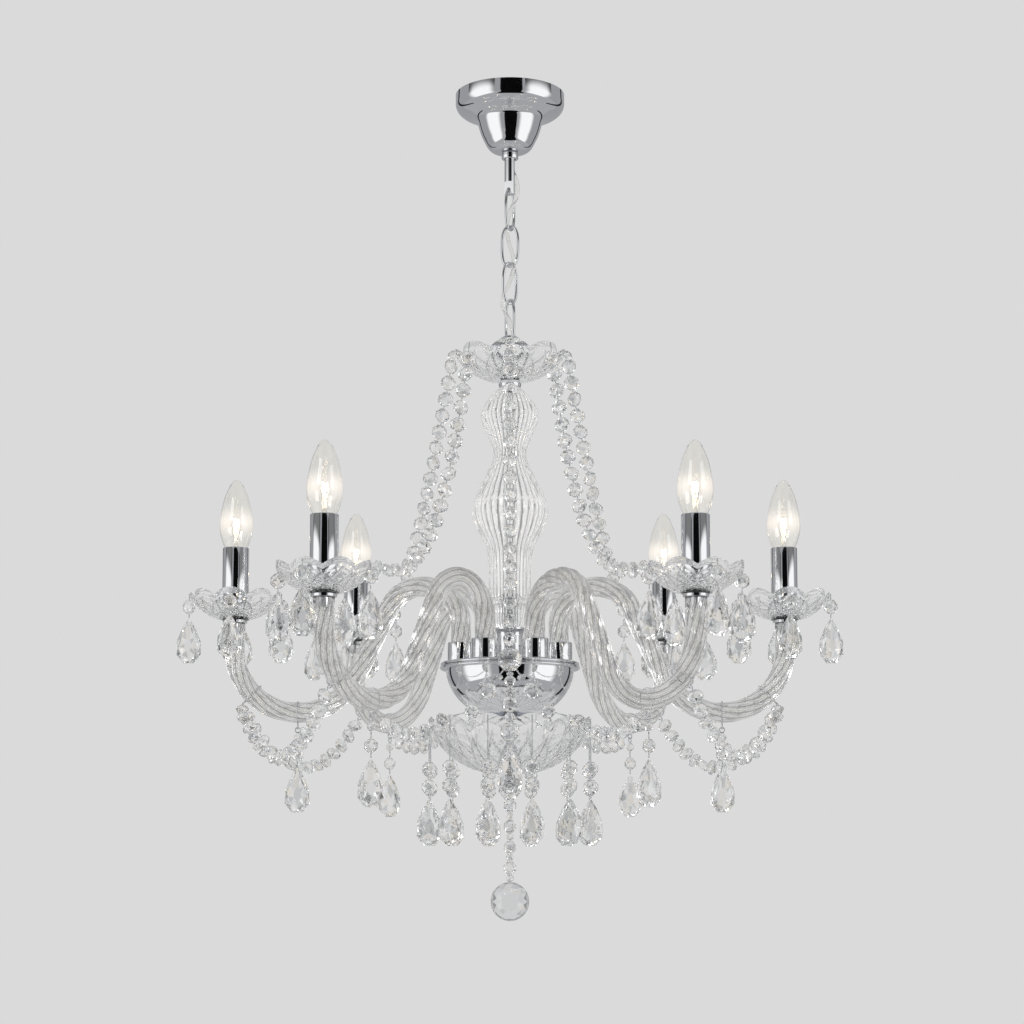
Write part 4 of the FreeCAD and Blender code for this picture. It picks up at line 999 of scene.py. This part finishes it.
for node, growth in STRAND_GROWTH.items():
    crystal_piece(node, FRAME, growth)
for number in range(1, ARM_COUNT + 1):
    crystal_piece("arm_drop_%d" % number, "drop_body_%d" % number)
crystal_piece("ball_drop", "ball_body")


# CAD nodes that stay as they are
KEPT = {"stem": CHROME, "ceiling_bracket": STEEL, "bracket_nuts": BRASS, "terminal_block": WHITE_PLASTIC,
        "centre_rod": STEEL, "arm_wires": ARM_WIRE, "arm_hoops": CHROME, "candle_nipples": CHROME,
        "lampholders": WHITE_PLASTIC}
for node, finish in KEPT.items():
    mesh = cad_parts[node].data
    mesh.materials.clear()
    mesh.materials.append(finish)


# Studio: pale floor and sky, two soft boxes beside the camera and dark cards that the metal mirrors
STUDIO_PALE = "#DADADA"
CARD_PALE = "#9A9B9C"
FLOOR_SIZE, FLOOR_Z = 14, -4.0
LAMP_SIZE = 1.2
LAMP_AIM = Vector((0, 0, -0.5))


def plane(name, width, height, matrix, finish, shown=True):
    bm = bmesh.new()
    bm.loops.layers.uv.new("sheet")
    bmesh.ops.create_grid(bm, x_segments=1, y_segments=1, size=0.5, calc_uvs=True)
    bmesh.ops.scale(bm, vec=(width, height, 1), verts=bm.verts)
    moved(bm, matrix)
    mesh = bpy.data.meshes.new(name)
    bm.to_mesh(mesh)
    bm.free()
    mesh.materials.append(finish)
    card = bpy.data.objects.new(name, mesh)
    bpy.context.collection.objects.link(card)
    card.visible_camera = shown


def backdrop_tone(tree, pale, mirrored):
    """Pale to look at and through glass, darker where a polished face mirrors it."""
    path = add(tree, "ShaderNodeLightPath")
    mirror = add(tree, "ShaderNodeMath", {0: path.outputs["Is Glossy Ray"],
                                          1: path.outputs["Is Transmission Ray"]},
                 operation="SUBTRACT", use_clamp=True)
    return add(tree, "ShaderNodeMix", {"Factor": mirror.outputs[0], "A": linear(pale),
                                       "B": linear(mirrored)}, data_type="RGBA")


def even_paint(name, pale, mirrored):
    """Evenly lit sheet, with one tone to look at and one for the polished faces to mirror."""
    made, tree = material(name)
    tone = backdrop_tone(tree, pale, mirrored)
    paint = add(tree, "ShaderNodeEmission", {"Color": tone.outputs["Result"], "Strength": 1.0})
    surface(tree, paint.outputs["Emission"])
    return made


def around(azimuth, distance, z):
    """Upright card at an azimuth from the camera's side, facing the object."""
    angle = math.radians(azimuth)
    spot = Vector((distance * math.sin(angle), -distance * math.cos(angle), z))
    return Matrix.Translation(spot) @ Matrix.Rotation(angle, 4, "Z") @ Matrix.Rotation(math.pi / 2, 4, "X")


def soft_box_paint():
    """Diffuser that is bright low down, grey at its top and fades towards its sides."""
    made, tree = material("soft_box")
    coords = add(tree, "ShaderNodeTexCoord")
    across = add(tree, "ShaderNodeSeparateXYZ", {0: coords.outputs["UV"]})
    up = add(tree, "ShaderNodeSeparateXYZ", {0: coords.outputs["Object"]})
    off = add(tree, "ShaderNodeMath", {0: across.outputs["X"], 1: 0.5}, operation="SUBTRACT")
    off = add(tree, "ShaderNodeMath", {0: off.outputs[0]}, operation="ABSOLUTE")
    fade = add(tree, "ShaderNodeMapRange",
               {"Value": off.outputs[0], "From Min": 0.25, "From Max": 0.5, "To Min": 1.0, "To Max": 0.35},
               interpolation_type="SMOOTHSTEP")
    low = add(tree, "ShaderNodeMapRange",
              {"Value": up.outputs["Z"], "From Min": 0.7, "From Max": 1.1, "To Min": 1.2, "To Max": 0.24},
              interpolation_type="SMOOTHSTEP")
    strength = add(tree, "ShaderNodeMath", {0: fade.outputs["Result"], 1: low.outputs["Result"]},
                   operation="MULTIPLY")
    tone = backdrop_tone(tree, "#E2E2E2", "#FFFFFF")
    paint = add(tree, "ShaderNodeEmission", {"Color": tone.outputs["Result"],
                                             "Strength": strength.outputs[0]})
    surface(tree, paint.outputs["Emission"])
    return made


BLACK_CARD = even_paint("black_card", CARD_PALE, "#0A0A0B")
DARK_CARD = even_paint("dark_card", CARD_PALE, "#202022")
SOFT_BOX = soft_box_paint()
PALE_SWEEP = even_paint("pale_studio_sweep", STUDIO_PALE, "#B2B3B5")
plane("card_behind_camera", 2.7, 5.0, around(3, 3.2, -0.4), BLACK_CARD, shown=False)
plane("card_on_floor", 2.2, 3.0, Matrix.Translation((0.1, -2.9, -1.88)), BLACK_CARD, shown=False)
for side, word in ((-1, "left"), (1, "right")):
    plane("soft_box_" + word, 3.8, 4.4, around(side * 64, 3.0, -0.2), SOFT_BOX, shown=False)
    plane("side_card_" + word, 0.3, 4.0, around(side * 136, 2.4, -0.4), DARK_CARD, shown=False)
plane("studio_floor", FLOOR_SIZE, FLOOR_SIZE, Matrix.Translation((0, 0, FLOOR_Z)), PALE_SWEEP)

world = bpy.data.worlds.new("studio")
world.use_nodes = True
bpy.context.scene.world = world
tree = world.node_tree
tree.nodes.clear()
pale = backdrop_tone(tree, STUDIO_PALE, "#A6A7AA")
sky = add(tree, "ShaderNodeBackground", {"Color": pale.outputs["Result"], "Strength": 1.0})
add(tree, "ShaderNodeOutputWorld", {"Surface": sky.outputs[0]})


def soft_lamp(name, spot, power):
    """Square lamp that lights the object and isn't mirrored in its metal."""
    lamp = bpy.data.lights.new(name, "AREA")
    lamp.size = LAMP_SIZE
    lamp.energy = power
    made = bpy.data.objects.new(name, lamp)
    made.location = spot
    made.rotation_euler = (LAMP_AIM - Vector(spot)).to_track_quat("-Z", "Y").to_euler()
    made.visible_glossy = False
    bpy.context.collection.objects.link(made)


soft_lamp("key", (-1.6, -2.2, 0.9), 22)
soft_lamp("fill", (1.9, -1.6, 0.4), 14)
bpy.context.scene.view_settings.view_transform = "Standard"

# Light goes through many facets of glass before it comes out
cycles = bpy.context.scene.cycles
cycles.max_bounces = 32
cycles.glossy_bounces = 14
cycles.transmission_bounces = 32
